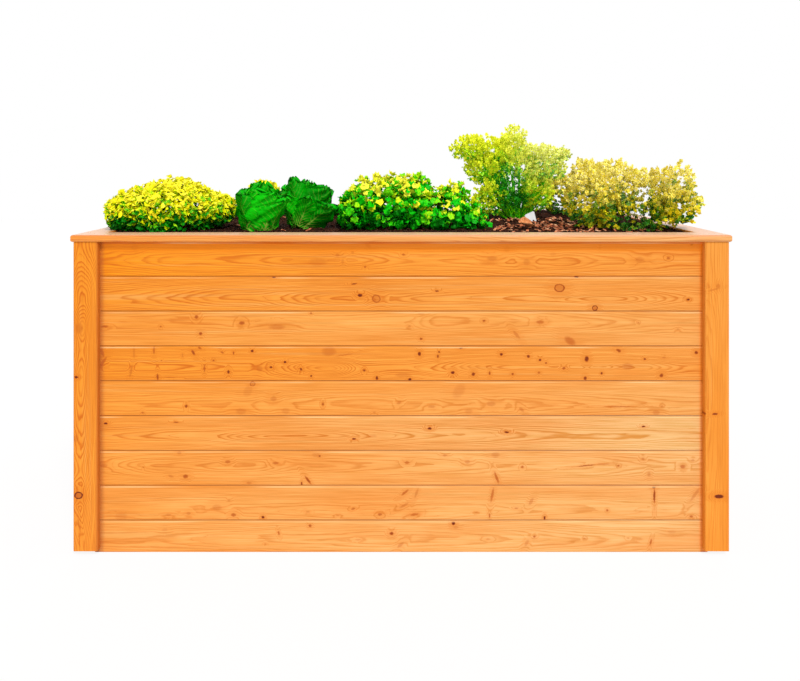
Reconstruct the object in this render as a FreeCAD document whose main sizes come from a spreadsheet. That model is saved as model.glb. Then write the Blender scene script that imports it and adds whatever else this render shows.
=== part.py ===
"""Raised garden bed: grooved corner posts, tongue-and-groove walls, a mitred cap, inner bracing,
a liner, a ground mesh, and the soil and plants that fill it.

Millimetres. X runs along the bed, Y from front to back, Z up. The origin is in the middle of the
bed, on the ground. The walls stand on the ground and the ends of the posts stay clear of it.
"""
import FreeCAD, Part
import math
import os
import Sketcher

DIMENSIONS = {
    "frameLength": (1830, "outer face to outer face of the posts, along the bed"),
    "frameDepth": (915, "outer face to outer face of the posts, across the bed"),
    "boardRows": (9, "boards in each wall"),
    "boardCover": (98, "height that one board covers"),
    "boardThick": (20, "thickness of a board"),
    "bottomTrim": (8, "groove edge sawn off the lowest board"),
    "tongueThick": (6, "thickness of the tongue"),
    "tongueHigh": (6, "height of the tongue"),
    "tongueSlack": (0.4, "room round the tongue in its groove"),
    "jointBevel": (1.5, "bevel along the outer edges of a board"),
    "postSide": (68, "side of the square posts"),
    "postFoot": (12, "gap between the ground and the end grain of a post"),
    "postRound": (4, "rounding of the posts' long edges"),
    "boardSetback": (16, "outer face of a post to the outer face of the boards"),
    "grooveDeep": (15, "depth of the grooves in the posts"),
    "grooveSlack": (0.3, "room on each side of a board in its groove"),
    "endSlack": (0.5, "room at each end of a board"),
    "capWide": (72, "width of a cap rail"),
    "capThick": (20, "thickness of a cap rail"),
    "capOverhang": (5, "how far the cap stands out past the posts"),
    "capRound": (6, "rounding of the cap's long edges"),
    "mitreSlack": (0.2, "room at each mitred end"),
    "stileWide": (68, "width of the stile inside each long wall"),
    "stileThick": (32, "thickness of those stiles"),
    "tieThick": (32, "thickness of the cross tie"),
    "tieHigh": (68, "height of the cross tie"),
    "tieLevel": (500, "underside of the cross tie above the ground"),
    "linerThick": (1.2, "thickness of the liner"),
    "linerFoot": (3, "gap between the ground and the liner"),
    "linerHead": (2, "gap between the liner and the cap"),
    "meshThick": (1.5, "thickness of the ground mesh"),
    "fillSlack": (0.3, "room between the soil and what holds it"),
    "soilDown": (10, "top of the cap to the surface of the soil"),
    "shankWide": (4.5, "diameter of a screw's shank"),
    "headWide": (8.6, "diameter of a screw's head"),
    "tipLong": (6, "length of a screw's tapered point"),
    "holeSlack": (0.3, "room round a screw"),
    "capScrewLong": (60, "length of a cap screw"),
    "longRailScrews": (2, "cap screws between the posts on a long side"),
    "shortRailScrews": (1, "cap screws between the posts on a short side"),
    "frameScrewLong": (45, "length of a brace screw"),
    "cornerNear": (22, "corner of a post to the nearer line of its two cap screws"),
    "cornerFar": (47, "corner of a post to the farther line of its two cap screws"),
    "tieScrewPitch": (34, "spacing of the two screws at each end of the tie"),
}

# place along and across the bed, then half width and half depth, as shares of the bed's half
# length and half depth, and the height above the soil in millimetres
PLANTS = {
    "frilly_lettuce_left": (-0.781, -0.492, 0.202, 0.383, 165),
    "frilly_lettuce_back": (-0.578, 0.372, 0.105, 0.240, 152),
    "cos_lettuce_left": (-0.481, -0.656, 0.077, 0.164, 160),
    "cos_lettuce_right": (-0.320, -0.503, 0.069, 0.240, 160),
    "leaf_lettuce_middle": (0.033, -0.372, 0.262, 0.415, 190),
    "parsley_bush": (0.440, 0.186, 0.235, 0.306, 343),
    "golden_bush_back": (0.752, 0.634, 0.118, 0.240, 237),
    "golden_bush_right": (0.765, -0.470, 0.213, 0.383, 225),
}
# share of the height and share of the spread at each ring of a plant's mound
MOUND = ((0, 0.55), (0.2, 0.88), (0.5, 1.0), (0.78, 0.8), (0.93, 0.5), (1, 0.2))

PLANT_SIDES = 16
SCREW_SIDES = 12
TIP_SHARE = 0.2

WALL_TOP = "(Dims.boardRows * Dims.boardCover - Dims.bottomTrim)"
SOIL_TOP = f"({WALL_TOP} + Dims.capThick - Dims.soilDown)"
HALF_LENGTH = "(Dims.frameLength / 2)"
HALF_DEPTH = "(Dims.frameDepth / 2)"
WALL_IN = "(Dims.boardSetback + Dims.boardThick)"
GROOVE_WIDE = "(Dims.boardThick + 2 * Dims.grooveSlack)"
BOARD_MIDDLE = "(Dims.boardSetback + Dims.boardThick / 2)"
BOARD_SHORTER = "(2 * (Dims.postSide - Dims.grooveDeep + Dims.endSlack))"
# what a plant's numbers are called in the sheet, and the unit of each
PLANT_SIZES = {
    "Along": HALF_LENGTH,
    "Across": HALF_DEPTH,
    "HalfWide": HALF_LENGTH,
    "HalfDeep": HALF_DEPTH,
    "High": "1",
}
# quarter turns about Z that bring a wall or a rail from the front to its own side
SIDES = {"front": 0, "right": 1, "back": 2, "left": 3}
CORNERS = {"front_left": 0, "front_right": 1, "back_right": 2, "back_left": 3}

doc = FreeCAD.newDocument("raised_bed")
sheet = doc.addObject("Spreadsheet::Sheet", "Dims")
parts = []


def alias_word(label):
    """A plant's label as the first part of its aliases."""
    return "".join(piece.capitalize() for piece in label.split("_"))


def fill_sheet():
    """Writes the driving dimensions into the sheet, one to a row."""
    rows = list(DIMENSIONS.items())
    for name, numbers in PLANTS.items():
        word = alias_word(name)
        rows += [(word + size, (number, name)) for size, number in zip(PLANT_SIZES, numbers)]
    for row, (alias, (number, note)) in enumerate(rows, start=1):
        sheet.set(f"A{row}", note)
        sheet.set(f"B{row}", str(number))
        sheet.setAlias(f"B{row}", alias)
    doc.recompute()


def value(expression):
    """The number that an expression on the sheet gives."""
    return float(sheet.evalExpression(expression.replace("Dims.", "")))


def add_sketch(body, role, *loops):
    """Closed outlines on one of the body's own planes, with every corner bound to the sheet."""
    sketch = body.newObject("Sketcher::SketchObject", "Outline")
    planes = [part for part in body.Origin.OriginFeatures if part.Role == role]
    sketch.AttachmentSupport = [(planes[0], "")]
    sketch.MapMode = "FlatFace"
    for loop in loops:
        first = sketch.GeometryCount
        spots = [FreeCAD.Vector(value(x), value(y), 0) for x, y in loop]
        for spot, following in zip(spots, spots[1:] + spots[:1]):
            sketch.addGeometry(Part.LineSegment(spot, following), False)
        for step, place in enumerate(loop):
            after = first + (step + 1) % len(loop)
            sketch.addConstraint(Sketcher.Constraint("Coincident", first + step, 2, after, 1))
            for kind, expression in zip(("DistanceX", "DistanceY"), place):
                constraint = Sketcher.Constraint(kind, -1, 1, first + step, 1, value(expression))
                index = sketch.addConstraint(constraint)
                sketch.setExpression(f"Constraints[{index}]", expression)
    return sketch


def add_body(label, turns=0, place=("0", "0", "0")):
    """An empty body, turned by quarter turns about Z and then set in its place."""
    body = doc.addObject("PartDesign::Body", label)
    body.Label = label
    body.Placement.Rotation = FreeCAD.Rotation(FreeCAD.Vector(0, 0, 1), 90 * turns)
    for axis, expression in zip("xyz", place):
        body.setExpression(f".Placement.Base.{axis}", expression)
    parts.append(body)
    return body


def pad(body, sketch, length, both_ways=False):
    """Extrudes a sketch, to one side or by half the length to each side."""
    feature = body.newObject("PartDesign::Pad", "Pad")
    feature.Profile = sketch
    feature.SideType = "Symmetric" if both_ways else "One side"
    feature.setExpression("Length", length)
    return feature


def cut_through(body, sketch, length):
    """Cuts a sketch out of the body to both sides, and makes sure that it took something away."""
    doc.recompute()
    before = body.Shape.Volume
    feature = body.newObject("PartDesign::Pocket", "Cut")
    feature.Profile = sketch
    feature.SideType = "Symmetric"
    feature.setExpression("Length", length)
    doc.recompute()
    if body.Shape.Volume >= before:
        raise ValueError(f"{body.Label}: the cut took nothing away")


def round_edges(body, radius, wanted):
    """Rounds the straight edges whose middle point passes the test."""
    doc.recompute()
    base = body.Tip
    edges = [
        f"Edge{number}"
        for number, edge in enumerate(base.Shape.Edges, start=1)
        if wanted(edge, edge.CenterOfMass)
    ]
    fillet = body.newObject("PartDesign::Fillet", "Rounding")
    fillet.Base = (base, edges)
    fillet.setExpression("Radius", radius)


def wall_place(turns, inset):
    """Where a piece goes that lies along one side, inset from the outer face of the posts."""
    half = HALF_DEPTH if turns % 2 == 0 else HALF_LENGTH
    sign = "-" if turns in (0, 3) else ""
    across = f"{sign}({half} - {inset})"
    return ("0", across) if turns % 2 == 0 else (across, "0")


def make_post(corner, turns):
    """A square post with a groove in each of the two faces that meet the walls."""
    signs = {0: ("-", "-"), 1: ("", "-"), 2: ("", ""), 3: ("-", "")}[turns]
    place = (signs[0] + HALF_LENGTH, signs[1] + HALF_DEPTH, "Dims.postFoot")
    body = add_body(f"post_{corner}", turns, place)
    near = "(Dims.boardSetback - Dims.grooveSlack)"
    far = f"({near} + {GROOVE_WIDE})"
    bed = "(Dims.postSide - Dims.grooveDeep)"
    side = "Dims.postSide"
    groove = [(side, near), (bed, near), (bed, far), (side, far)]
    mirrored = [(y, x) for x, y in reversed(groove)]
    outline = [("0", "0"), (side, "0"), *groove, (side, side), *mirrored, ("0", side)]
    height = f"{WALL_TOP} - Dims.postFoot"
    pad(body, add_sketch(body, "XY_Plane", outline), height)

    def is_long_edge(edge, middle):
        at_corner = all(min(abs(place), abs(place - value(side))) < 0.01 for place in middle[:2])
        return at_corner and abs(edge.Length - value(height)) < 0.01

    round_edges(body, "Dims.postRound", is_long_edge)


def board_outline(row, rows):
    """A board's section: outer face to -x, tongue on top, groove below, both left off at the ends."""
    face, back = "-Dims.boardThick / 2", "Dims.boardThick / 2"
    top, bevel = "Dims.boardCover", "Dims.jointBevel"
    if row == 0:
        lower = [(face, "Dims.bottomTrim"), (back, "Dims.bottomTrim")]
    else:
        mouth = "(Dims.tongueThick / 2 + Dims.tongueSlack)"
        roof = "(Dims.tongueHigh + Dims.tongueSlack)"
        lower = [(face, bevel), (f"{face} + {bevel}", "0"), (f"-{mouth}", "0")]
        lower += [(f"-{mouth}", roof), (mouth, roof), (mouth, "0"), (back, "0")]
    if row == rows - 1:
        return lower + [(back, top), (face, top)]
    tongue, tip = "Dims.tongueThick / 2", f"{top} + Dims.tongueHigh"
    upper = [(back, top), (tongue, top), (tongue, tip), (f"-{tongue}", tip), (f"-{tongue}", top)]
    return lower + upper + [(f"{face} + {bevel}", top), (face, f"{top} - {bevel}")]


def make_wall(side, turns):
    """The boards of one wall, from the ground up."""
    rows = int(value("Dims.boardRows"))
    span = "Dims.frameLength" if turns % 2 == 0 else "Dims.frameDepth"
    for row in range(rows):
        level = f"{row} * Dims.boardCover - Dims.bottomTrim"
        body = add_body(f"{side}_board_{row + 1}", turns, (*wall_place(turns, BOARD_MIDDLE), level))
        section = add_sketch(body, "YZ_Plane", board_outline(row, rows))
        pad(body, section, f"{span} - {BOARD_SHORTER}", both_ways=True)


def make_cap_rail(side, turns):
    """A cap rail with mitred ends and rounded long edges."""
    body = add_body(f"cap_rail_{side}", turns, (*wall_place(turns, "-Dims.capOverhang"), WALL_TOP))
    half = HALF_LENGTH if turns % 2 == 0 else HALF_DEPTH
    long = f"({half} + Dims.capOverhang - Dims.mitreSlack)"
    short = f"({long} - Dims.capWide)"
    wide = "Dims.capWide"
    outline = [(f"-{long}", "0"), (long, "0"), (short, wide), (f"-{short}", wide)]
    pad(body, add_sketch(body, "XY_Plane", outline), "Dims.capThick")

    def is_long_edge(edge, middle):
        return abs(middle.x) < 0.01 and edge.Length > value(short)

    round_edges(body, "Dims.capRound", is_long_edge)


def make_stile(side, turns):
    """An upright inside a long wall, which holds its boards in line."""
    inset = f"({WALL_IN} + Dims.stileThick)"
    body = add_body(f"stile_{side}", turns, (*wall_place(turns, inset), "Dims.postFoot"))
    half = "Dims.stileWide / 2"
    outline = [(f"-{half}", "-Dims.stileThick"), (half, "-Dims.stileThick"), (half, "0"), (f"-{half}", "0")]
    pad(body, add_sketch(body, "XY_Plane", outline), f"{WALL_TOP} - Dims.postFoot")


def make_tie():
    """A tie across the bed beside the stiles, which keeps the long walls from bulging."""
    body = add_body("cross_tie", 0, ("Dims.stileWide / 2", "0", "Dims.tieLevel"))
    half = f"({HALF_DEPTH} - {WALL_IN} - Dims.endSlack)"
    outline = [("0", f"-{half}"), ("Dims.tieThick", f"-{half}"), ("Dims.tieThick", half), ("0", half)]
    pad(body, add_sketch(body, "XY_Plane", outline), "Dims.tieHigh")


def inner_outline(gap):
    """The plan of the space inside the walls, posts and stiles, held a gap away from them."""
    wall_x = f"({HALF_LENGTH} - {WALL_IN} - {gap})"
    wall_y = f"({HALF_DEPTH} - {WALL_IN} - {gap})"
    post_x = f"({HALF_LENGTH} - Dims.postSide - {gap})"
    post_y = f"({HALF_DEPTH} - Dims.postSide - {gap})"
    stile_x = f"(Dims.stileWide / 2 + {gap})"
    stile_y = f"({HALF_DEPTH} - {WALL_IN} - Dims.stileThick - {gap})"
    quarter = [(wall_x, post_y), (post_x, post_y), (post_x, wall_y), (stile_x, wall_y), (stile_x, stile_y)]
    back_left = [(f"-{x}", y) for x, y in reversed(quarter)]
    front = [(f"-{x}", f"-{y}") for x, y in quarter] + [(x, f"-{y}") for x, y in reversed(quarter)]
    return quarter + back_left + front


def cut_for_tie(body, base):
    """Cuts the tie's way through the liner or the soil, with the named room round it."""
    left = "(Dims.stileWide / 2 - Dims.fillSlack)"
    right = "(Dims.stileWide / 2 + Dims.tieThick + Dims.fillSlack)"
    low = f"(Dims.tieLevel - Dims.fillSlack - {base})"
    high = f"(Dims.tieLevel + Dims.tieHigh + Dims.fillSlack - {base})"
    sketch = add_sketch(body, "XZ_Plane", [(left, low), (right, low), (right, high), (left, high)])
    cut_through(body, sketch, "Dims.frameDepth")


def make_liner():
    """A sheet that lines the walls, open above and below."""
    body = add_body("liner", 0, ("0", "0", "Dims.linerFoot"))
    ring_plan = add_sketch(body, "XY_Plane", inner_outline("0"), inner_outline("Dims.linerThick"))
    pad(body, ring_plan, f"{WALL_TOP} - Dims.linerHead - Dims.linerFoot")
    cut_for_tie(body, "Dims.linerFoot")


def make_mesh():
    """The mesh on the ground inside the walls, as the flat sheet that it fills."""
    body = add_body("ground_mesh")
    outline = inner_outline("(Dims.linerThick + Dims.fillSlack)")
    pad(body, add_sketch(body, "XY_Plane", outline), "Dims.meshThick")


def make_soil():
    """The soil: up to the top of the walls, then up inside the opening of the cap."""
    body = add_body("soil", 0, ("0", "0", "Dims.meshThick"))
    gap = "(Dims.linerThick + Dims.fillSlack)"
    lower = add_sketch(body, "XY_Plane", inner_outline(gap))
    pad(body, lower, f"{WALL_TOP} - Dims.fillSlack - Dims.meshThick")
    x = f"({HALF_LENGTH} - Dims.postSide - {gap})"
    braced = f"{WALL_IN} + Dims.stileThick"
    y = f"({HALF_DEPTH} - max(Dims.postSide; {braced}) - {gap})"
    core = [(f"-{x}", f"-{y}"), (x, f"-{y}"), (x, y), (f"-{x}", y)]
    pad(body, add_sketch(body, "XY_Plane", core), f"{SOIL_TOP} - Dims.meshThick")
    cut_for_tie(body, "Dims.meshThick")


def ring(centre, half_wide, half_deep, sides):
    """The corners of a level ring, round or oval."""
    angles = [2 * math.pi * (step + 0.5) / sides for step in range(sides)]
    return [
        centre + FreeCAD.Vector(half_wide * math.cos(angle), half_deep * math.sin(angle), 0)
        for angle in angles
    ]


def ringed_solid(rings):
    """A closed solid through a stack of rings, with a flat facet between each pair of sides."""
    outlines = [rings[0], rings[-1]]
    for low, high in zip(rings, rings[1:]):
        for step, corner in enumerate(low):
            after = (step + 1) % len(low)
            outlines.append([corner, low[after], high[after], high[step]])
    faces = [Part.Face(Part.makePolygon(corners + corners[:1])) for corners in outlines]
    solid = Part.Solid(Part.Shell(faces))
    if solid.Volume < 0:
        solid.reverse()
    return solid


def screw_solid(length):
    """A countersunk screw, driven straight down, with the top of its head at the origin."""
    shank, head = value("Dims.shankWide") / 2, value("Dims.headWide") / 2
    tip = value("Dims.tipLong")
    levels = [(0, head), (shank - head, shank), (tip - length, shank), (-length, shank * TIP_SHARE)]
    return ringed_solid([round_ring(level, radius) for level, radius in reversed(levels)])


def screw_hole(length):
    """The countersunk hole that the same screw needs, open above."""
    slack = value("Dims.holeSlack")
    shank, head = value("Dims.shankWide") / 2 + slack, value("Dims.headWide") / 2 + slack
    levels = [(slack, head), (0, head), (shank - head, shank), (-length - slack, shank)]
    return ringed_solid([round_ring(level, radius) for level, radius in reversed(levels)])


def round_ring(level, radius):
    """A level round ring on the Z axis."""
    return ring(FreeCAD.Vector(0, 0, level), radius, radius, SCREW_SIDES)


def driven(solid, places):
    """Copies of a solid at each point, turned from straight down to each direction."""
    copies = []
    for point, direction in places:
        copy = solid.copy()
        turn = FreeCAD.Rotation(FreeCAD.Vector(0, 0, -1), FreeCAD.Vector(*direction))
        copy.Placement = FreeCAD.Placement(FreeCAD.Vector(*point), turn)
        copies.append(copy)
    return copies


def cap_screw_places():
    """Where the cap screws go in: two into each post, the others into the top boards."""
    top = value(f"{WALL_TOP} + Dims.capThick")
    places = []
    for turns in SIDES.values():
        half, across = (HALF_LENGTH, HALF_DEPTH) if turns % 2 == 0 else (HALF_DEPTH, HALF_LENGTH)
        turn = FreeCAD.Rotation(FreeCAD.Vector(0, 0, 1), 90 * turns)
        end = value(f"{half} - Dims.cornerFar")
        spots = [(-end, "Dims.cornerNear"), (end, "Dims.cornerNear")]
        between = int(value("Dims.longRailScrews" if turns % 2 == 0 else "Dims.shortRailScrews"))
        pitch = 2 * end / (between + 1)
        spots += [(-end + pitch * (step + 1), BOARD_MIDDLE) for step in range(between)]
        for along, inward in spots:
            point = FreeCAD.Vector(along, value(f"{inward} - {across}"), top)
            places.append((turn.multVec(point), (0, 0, -1)))
    return places


def frame_screw_places():
    """Where the stiles are screwed to every other board, and the tie to the stiles."""
    stile_face = value(f"{HALF_DEPTH} - {WALL_IN} - Dims.stileThick")
    stile_middle = value(f"{HALF_DEPTH} - {WALL_IN} - Dims.stileThick / 2")
    tie_face = value("Dims.stileWide / 2 + Dims.tieThick")
    tie_middle = value("Dims.tieLevel + Dims.tieHigh / 2")
    tie_reach = value("Dims.tieScrewPitch / 2")
    places = []
    for side in (-1, 1):
        for row in range(0, int(value("Dims.boardRows")), 2):
            level = value(f"{row + 0.5} * Dims.boardCover - Dims.bottomTrim")
            places.append(((0, side * stile_face, level), (0, side, 0)))
        for level in (tie_middle - tie_reach, tie_middle + tie_reach):
            places.append(((tie_face, side * stile_middle, level), (-1, 0, 0)))
    return places


def add_feature(label, shape):
    """A feature that holds one finished shape."""
    feature = doc.addObject("Part::Feature", label)
    feature.Label = label
    feature.Shape = shape
    return feature


def make_screws():
    """Both groups of screws, and the holes that they need in every piece that they reach."""
    groups = {
        "cap_screws": (value("Dims.capScrewLong"), cap_screw_places()),
        "frame_screws": (value("Dims.frameScrewLong"), frame_screw_places()),
    }
    doc.recompute()
    for label, (length, places) in groups.items():
        holes = driven(screw_hole(length), places)
        tool = add_feature(f"{label}_holes", Part.makeCompound(holes))
        for index, part in enumerate(parts):
            if any(reaches(hole, part.Shape) for hole in holes):
                parts[index] = pierce(part, tool)
        doc.recompute()
        parts.append(add_feature(label, Part.makeCompound(driven(screw_solid(length), places))))


def reaches(hole, shape):
    """Whether a hole takes anything from a shape."""
    return hole.BoundBox.intersect(shape.BoundBox) and hole.common(shape).Volume > 0


def pierce(part, tool):
    """The same piece, under the same label, with the screw holes cut through it."""
    label = part.Label
    part.Label = f"{label}_undrilled"
    drilled = doc.addObject("Part::Cut", label)
    drilled.Label = label
    drilled.Base = part
    drilled.Tool = tool
    return drilled


def make_plant(label):
    """The space that one plant fills: rings that swell above the soil and close on top."""
    word = alias_word(label)
    along, across, half_wide, half_deep, high = (
        value(f"Dims.{word}{size} * {unit}") for size, unit in PLANT_SIZES.items()
    )
    rings = []
    for rise, spread in MOUND:
        centre = FreeCAD.Vector(along, across, value(SOIL_TOP) + high * rise)
        rings.append(ring(centre, half_wide * spread, half_deep * spread, PLANT_SIDES))
    parts.append(add_feature(label, ringed_solid(rings)))


def write_parts():
    """Checks every object and every shape, then writes one file for each piece."""
    doc.recompute()
    failed = [item.Label for item in doc.Objects if {"Invalid", "Error"} & set(item.State)]
    failed += [part.Label for part in parts if part.Shape.isNull() or not part.Shape.isValid()]
    if failed:
        raise ValueError(f"failed: {failed}")
    os.makedirs("parts", exist_ok=True)
    for part in parts:
        part.Shape.exportStep(f"parts/{part.Label}.step")


fill_sheet()
for corner, turns in CORNERS.items():
    make_post(corner, turns)
for side, turns in SIDES.items():
    make_wall(side, turns)
    make_cap_rail(side, turns)
make_stile("front", 0)
make_stile("back", 2)
make_tie()
make_screws()
make_liner()
make_mesh()
make_soil()
for name in PLANTS:
    make_plant(name)
write_parts()
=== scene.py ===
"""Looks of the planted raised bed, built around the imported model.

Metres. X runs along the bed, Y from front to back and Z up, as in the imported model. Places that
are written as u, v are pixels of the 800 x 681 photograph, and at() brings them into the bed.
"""
import math
import random
from dataclasses import dataclass

import bmesh
import bpy
from mathutils import Matrix, Vector, noise


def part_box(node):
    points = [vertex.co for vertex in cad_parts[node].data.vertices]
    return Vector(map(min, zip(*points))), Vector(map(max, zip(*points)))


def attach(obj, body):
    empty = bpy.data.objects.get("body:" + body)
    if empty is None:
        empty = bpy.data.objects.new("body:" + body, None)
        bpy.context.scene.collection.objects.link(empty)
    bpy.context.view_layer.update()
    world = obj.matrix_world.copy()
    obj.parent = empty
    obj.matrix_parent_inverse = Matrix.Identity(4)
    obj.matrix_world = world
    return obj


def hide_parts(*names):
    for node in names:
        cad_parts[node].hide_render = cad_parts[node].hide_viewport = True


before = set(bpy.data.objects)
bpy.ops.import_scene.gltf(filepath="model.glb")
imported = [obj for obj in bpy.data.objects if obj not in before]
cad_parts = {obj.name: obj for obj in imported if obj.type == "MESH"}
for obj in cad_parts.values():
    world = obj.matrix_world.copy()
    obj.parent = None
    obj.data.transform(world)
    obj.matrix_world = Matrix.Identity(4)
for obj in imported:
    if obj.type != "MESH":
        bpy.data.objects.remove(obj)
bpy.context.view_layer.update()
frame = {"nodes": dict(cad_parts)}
nodes = frame["nodes"]

EYE = Vector((0, -2.1575, 1.097))
FOCAL = 610
IMAGE_WIDE, IMAGE_HIGH = 800, 681
CENTRE_U, HORIZON_V = 401.25, 162

FACE_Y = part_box("front_board_5")[0].y
POST_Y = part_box("post_front_left")[0].y
SOIL_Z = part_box("soil")[1].z
CAP_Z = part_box("cap_rail_front")[1].z


def at(u, v, y):
    """The point that the camera sees at a photo place, at depth y in the bed."""
    reach = (y - EYE.y) / FOCAL
    return Vector(((u - CENTRE_U) * reach, y, EYE.z - (v - HORIZON_V) * reach))


# ---------------------------------------------------------------- camera, floor and light

def add_camera():
    data = bpy.data.cameras.new("camera")
    data.sensor_width = 36
    data.lens = data.sensor_width * FOCAL / IMAGE_WIDE
    data.shift_x = (IMAGE_WIDE / 2 - CENTRE_U) / IMAGE_WIDE
    data.shift_y = (HORIZON_V - IMAGE_HIGH / 2) / IMAGE_WIDE
    camera = bpy.data.objects.new("camera", data)
    camera.location = EYE
    camera.rotation_euler = (math.pi / 2, 0, 0)
    bpy.context.scene.collection.objects.link(camera)
    bpy.context.scene.camera = camera


def add_sun(name, strength, softness, lean, bearing):
    """A soft sun that stands `lean` degrees up, `bearing` degrees to the right of the camera."""
    data = bpy.data.lights.new(name, "SUN")
    data.energy = strength
    data.angle = math.radians(softness)
    lamp = bpy.data.objects.new(name, data)
    lamp.rotation_euler = (math.radians(90 - lean), 0, math.radians(bearing))
    bpy.context.scene.collection.objects.link(lamp)


# ---------------------------------------------------------------- finishes

class Number:
    """A number socket of a node. Sums and products on it add Math nodes."""

    def __init__(self, nodes, socket):
        self.nodes, self.socket = nodes, socket

    def __add__(self, other):
        return self.nodes.math("ADD", self, other)

    def __sub__(self, other):
        return self.nodes.math("SUBTRACT", self, other)

    def __rsub__(self, other):
        return self.nodes.math("SUBTRACT", other, self)

    def __mul__(self, other):
        return self.nodes.math("MULTIPLY", self, other)

    def __truediv__(self, other):
        return self.nodes.math("DIVIDE", self, other)

    __radd__ = __add__
    __rmul__ = __mul__


class Nodes:
    """The nodes of a material or of the sky."""

    def __init__(self, tree):
        self.tree = tree

    def node(self, kind, settings=None, inputs=None):
        """Adds a node: its settings first, then the values or links of its sockets."""
        node = self.tree.nodes.new(f"ShaderNode{kind}")
        for name, setting in (settings or {}).items():
            if name == "stops":
                self.set_stops(node.color_ramp, setting)
            elif name == "blend":
                node.color_ramp.interpolation = setting
            else:
                setattr(node, name, setting)
        for name, value in (inputs or {}).items():
            self.feed(node.inputs[name], value)
        return node

    def feed(self, socket, value):
        if isinstance(value, Number):
            self.tree.links.new(value.socket, socket)
        else:
            socket.default_value = value

    def set_stops(self, ramp, stops):
        while len(ramp.elements) < len(stops):
            ramp.elements.new(1)
        for element, (share, colour) in zip(ramp.elements, stops):
            element.position = share
            element.color = colour if isinstance(colour, tuple) else (colour, colour, colour, 1)

    def out(self, kind, settings=None, inputs=None, output=0):
        return Number(self, self.node(kind, settings, inputs).outputs[output])

    def math(self, operation, *terms):
        return self.out("Math", {"operation": operation}, dict(enumerate(terms)))

    def rise(self, value, low, high, start=0, end=1):
        """start up to low, end from high on, and smooth between them."""
        return self.out(
            "MapRange",
            {"interpolation_type": "SMOOTHSTEP"},
            {"Value": value, "From Min": low, "From Max": high, "To Min": start, "To Max": end},
        )

    def fade(self, value, low, high, top):
        """top up to low, and 0 from high on."""
        return self.rise(value, low, high, top, 0)

    def seen_directly(self):
        """1 for what the camera sees straight, in a reflection or through glass."""
        rays = self.node("LightPath")
        camera, glossy, glass = (
            Number(self, rays.outputs[f"Is {kind} Ray"]) for kind in ("Camera", "Glossy", "Transmission")
        )
        return self.math("MAXIMUM", camera, self.math("MAXIMUM", glossy, glass))


class Finish(Nodes):
    """A material and the nodes in front of its shader."""

    def __init__(self, name, **fixed):
        self.material = bpy.data.materials.new(name)
        self.material.use_nodes = True
        super().__init__(self.material.node_tree)
        self.shader = self.tree.nodes["Principled BSDF"]
        for socket, value in fixed.items():
            self.shader.inputs[socket.replace("_", " ")].default_value = value
        self.place = self.out("TexCoord", output="Object")

    def noise(self, stretch, detail=2, shift=(0, 0, 0)):
        """Noise from 0 to 1 that repeats about `stretch` times a metre along each axis."""
        spot = self.out("Mapping", None, {"Vector": self.place, "Scale": stretch, "Location": shift})
        return self.out("TexNoise", None, {"Vector": spot, "Scale": 1, "Detail": detail})

    def wander(self, along, often, seed):
        """Noise from 0 to 1 along one line."""
        line = {"W": along * often + seed, "Scale": 1, "Detail": 1}
        return self.out("TexNoise", {"noise_dimensions": "1D"}, line)

    def mix(self, share, first, second, blend="MIX"):
        node = self.node("Mix", {"data_type": "RGBA", "blend_type": blend})
        for index, value in ((0, share), (6, first), (7, second)):
            self.feed(node.inputs[index], value)
        return Number(self, node.outputs[2])

    def ramp(self, value, stops, blend="LINEAR"):
        return self.out("ValToRGB", {"blend": blend, "stops": stops}, {"Fac": value})

    def use(self, colour, roughness=None, height=None, relief=0.0004):
        self.feed(self.shader.inputs["Base Color"], colour)
        if roughness is not None:
            self.feed(self.shader.inputs["Roughness"], roughness)
        if height is not None:
            bump = self.out("Bump", None, {"Height": height, "Distance": relief, "Strength": 1})
            self.feed(self.shader.inputs["Normal"], bump)
        return self.material


def tone(red, green, blue):
    """A colour as a screen shows it, 0 to 255, as the colour that the shader needs."""
    shares = [value / 255 for value in (red, green, blue)]
    line = [c / 12.92 if c <= 0.04045 else ((c + 0.055) / 1.055) ** 2.4 for c in shares]
    return (*line, 1)


AMBER, PEACH = tone(236, 144, 12), tone(234, 184, 122)
OCHRE, STRAW = tone(222, 126, 10), tone(227, 176, 108)
KNOT, BURL, HALO = tone(108, 34, 0), tone(178, 80, 6), tone(206, 108, 8)
# painted shade along the cap's rounded front edge, and painted sheen on its flat top
ROUNDED_EDGE_SHADE, PAINTED_SHEEN = tone(190, 96, 36), tone(244, 200, 166)
# painted shade in the joints, painted highlight just below each joint, and painted shade at the boards' left
# ends beside the post
JOINT_SHADE, JOINT_HIGHLIGHT, LEFT_END_SHADE = tone(112, 46, 5), tone(246, 206, 146), tone(160, 88, 48)
# painted shade under the cap: a deep orange band, lighter than the shadow it lies in, and a dark line right
# under the cap
CAP_SHADE_ORANGE, CAP_SHADOW_LINE = tone(255, 140, 0), tone(190, 76, 0)
# painted shade at the boards' right ends in a deep orange, and painted shade on the posts' inner sides
RIGHT_END_SHADE, REVEAL_SHADE = tone(250, 130, 6), tone(160, 80, 36)
# shares of the wood's own colour
LATE_RINGS = (0.76, 0.5, 0.16, 1)
DARK_FIBRES, PALE_FIBRES = (0.88, 0.8, 0.6, 1), (1.04, 1.07, 1.15, 1)

AXES = {"X": 0, "Y": 1, "Z": 2}


def mixed(share, first=AMBER, second=PEACH):
    return tuple(a + (b - a) * share for a, b in zip(first, second))


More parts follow.
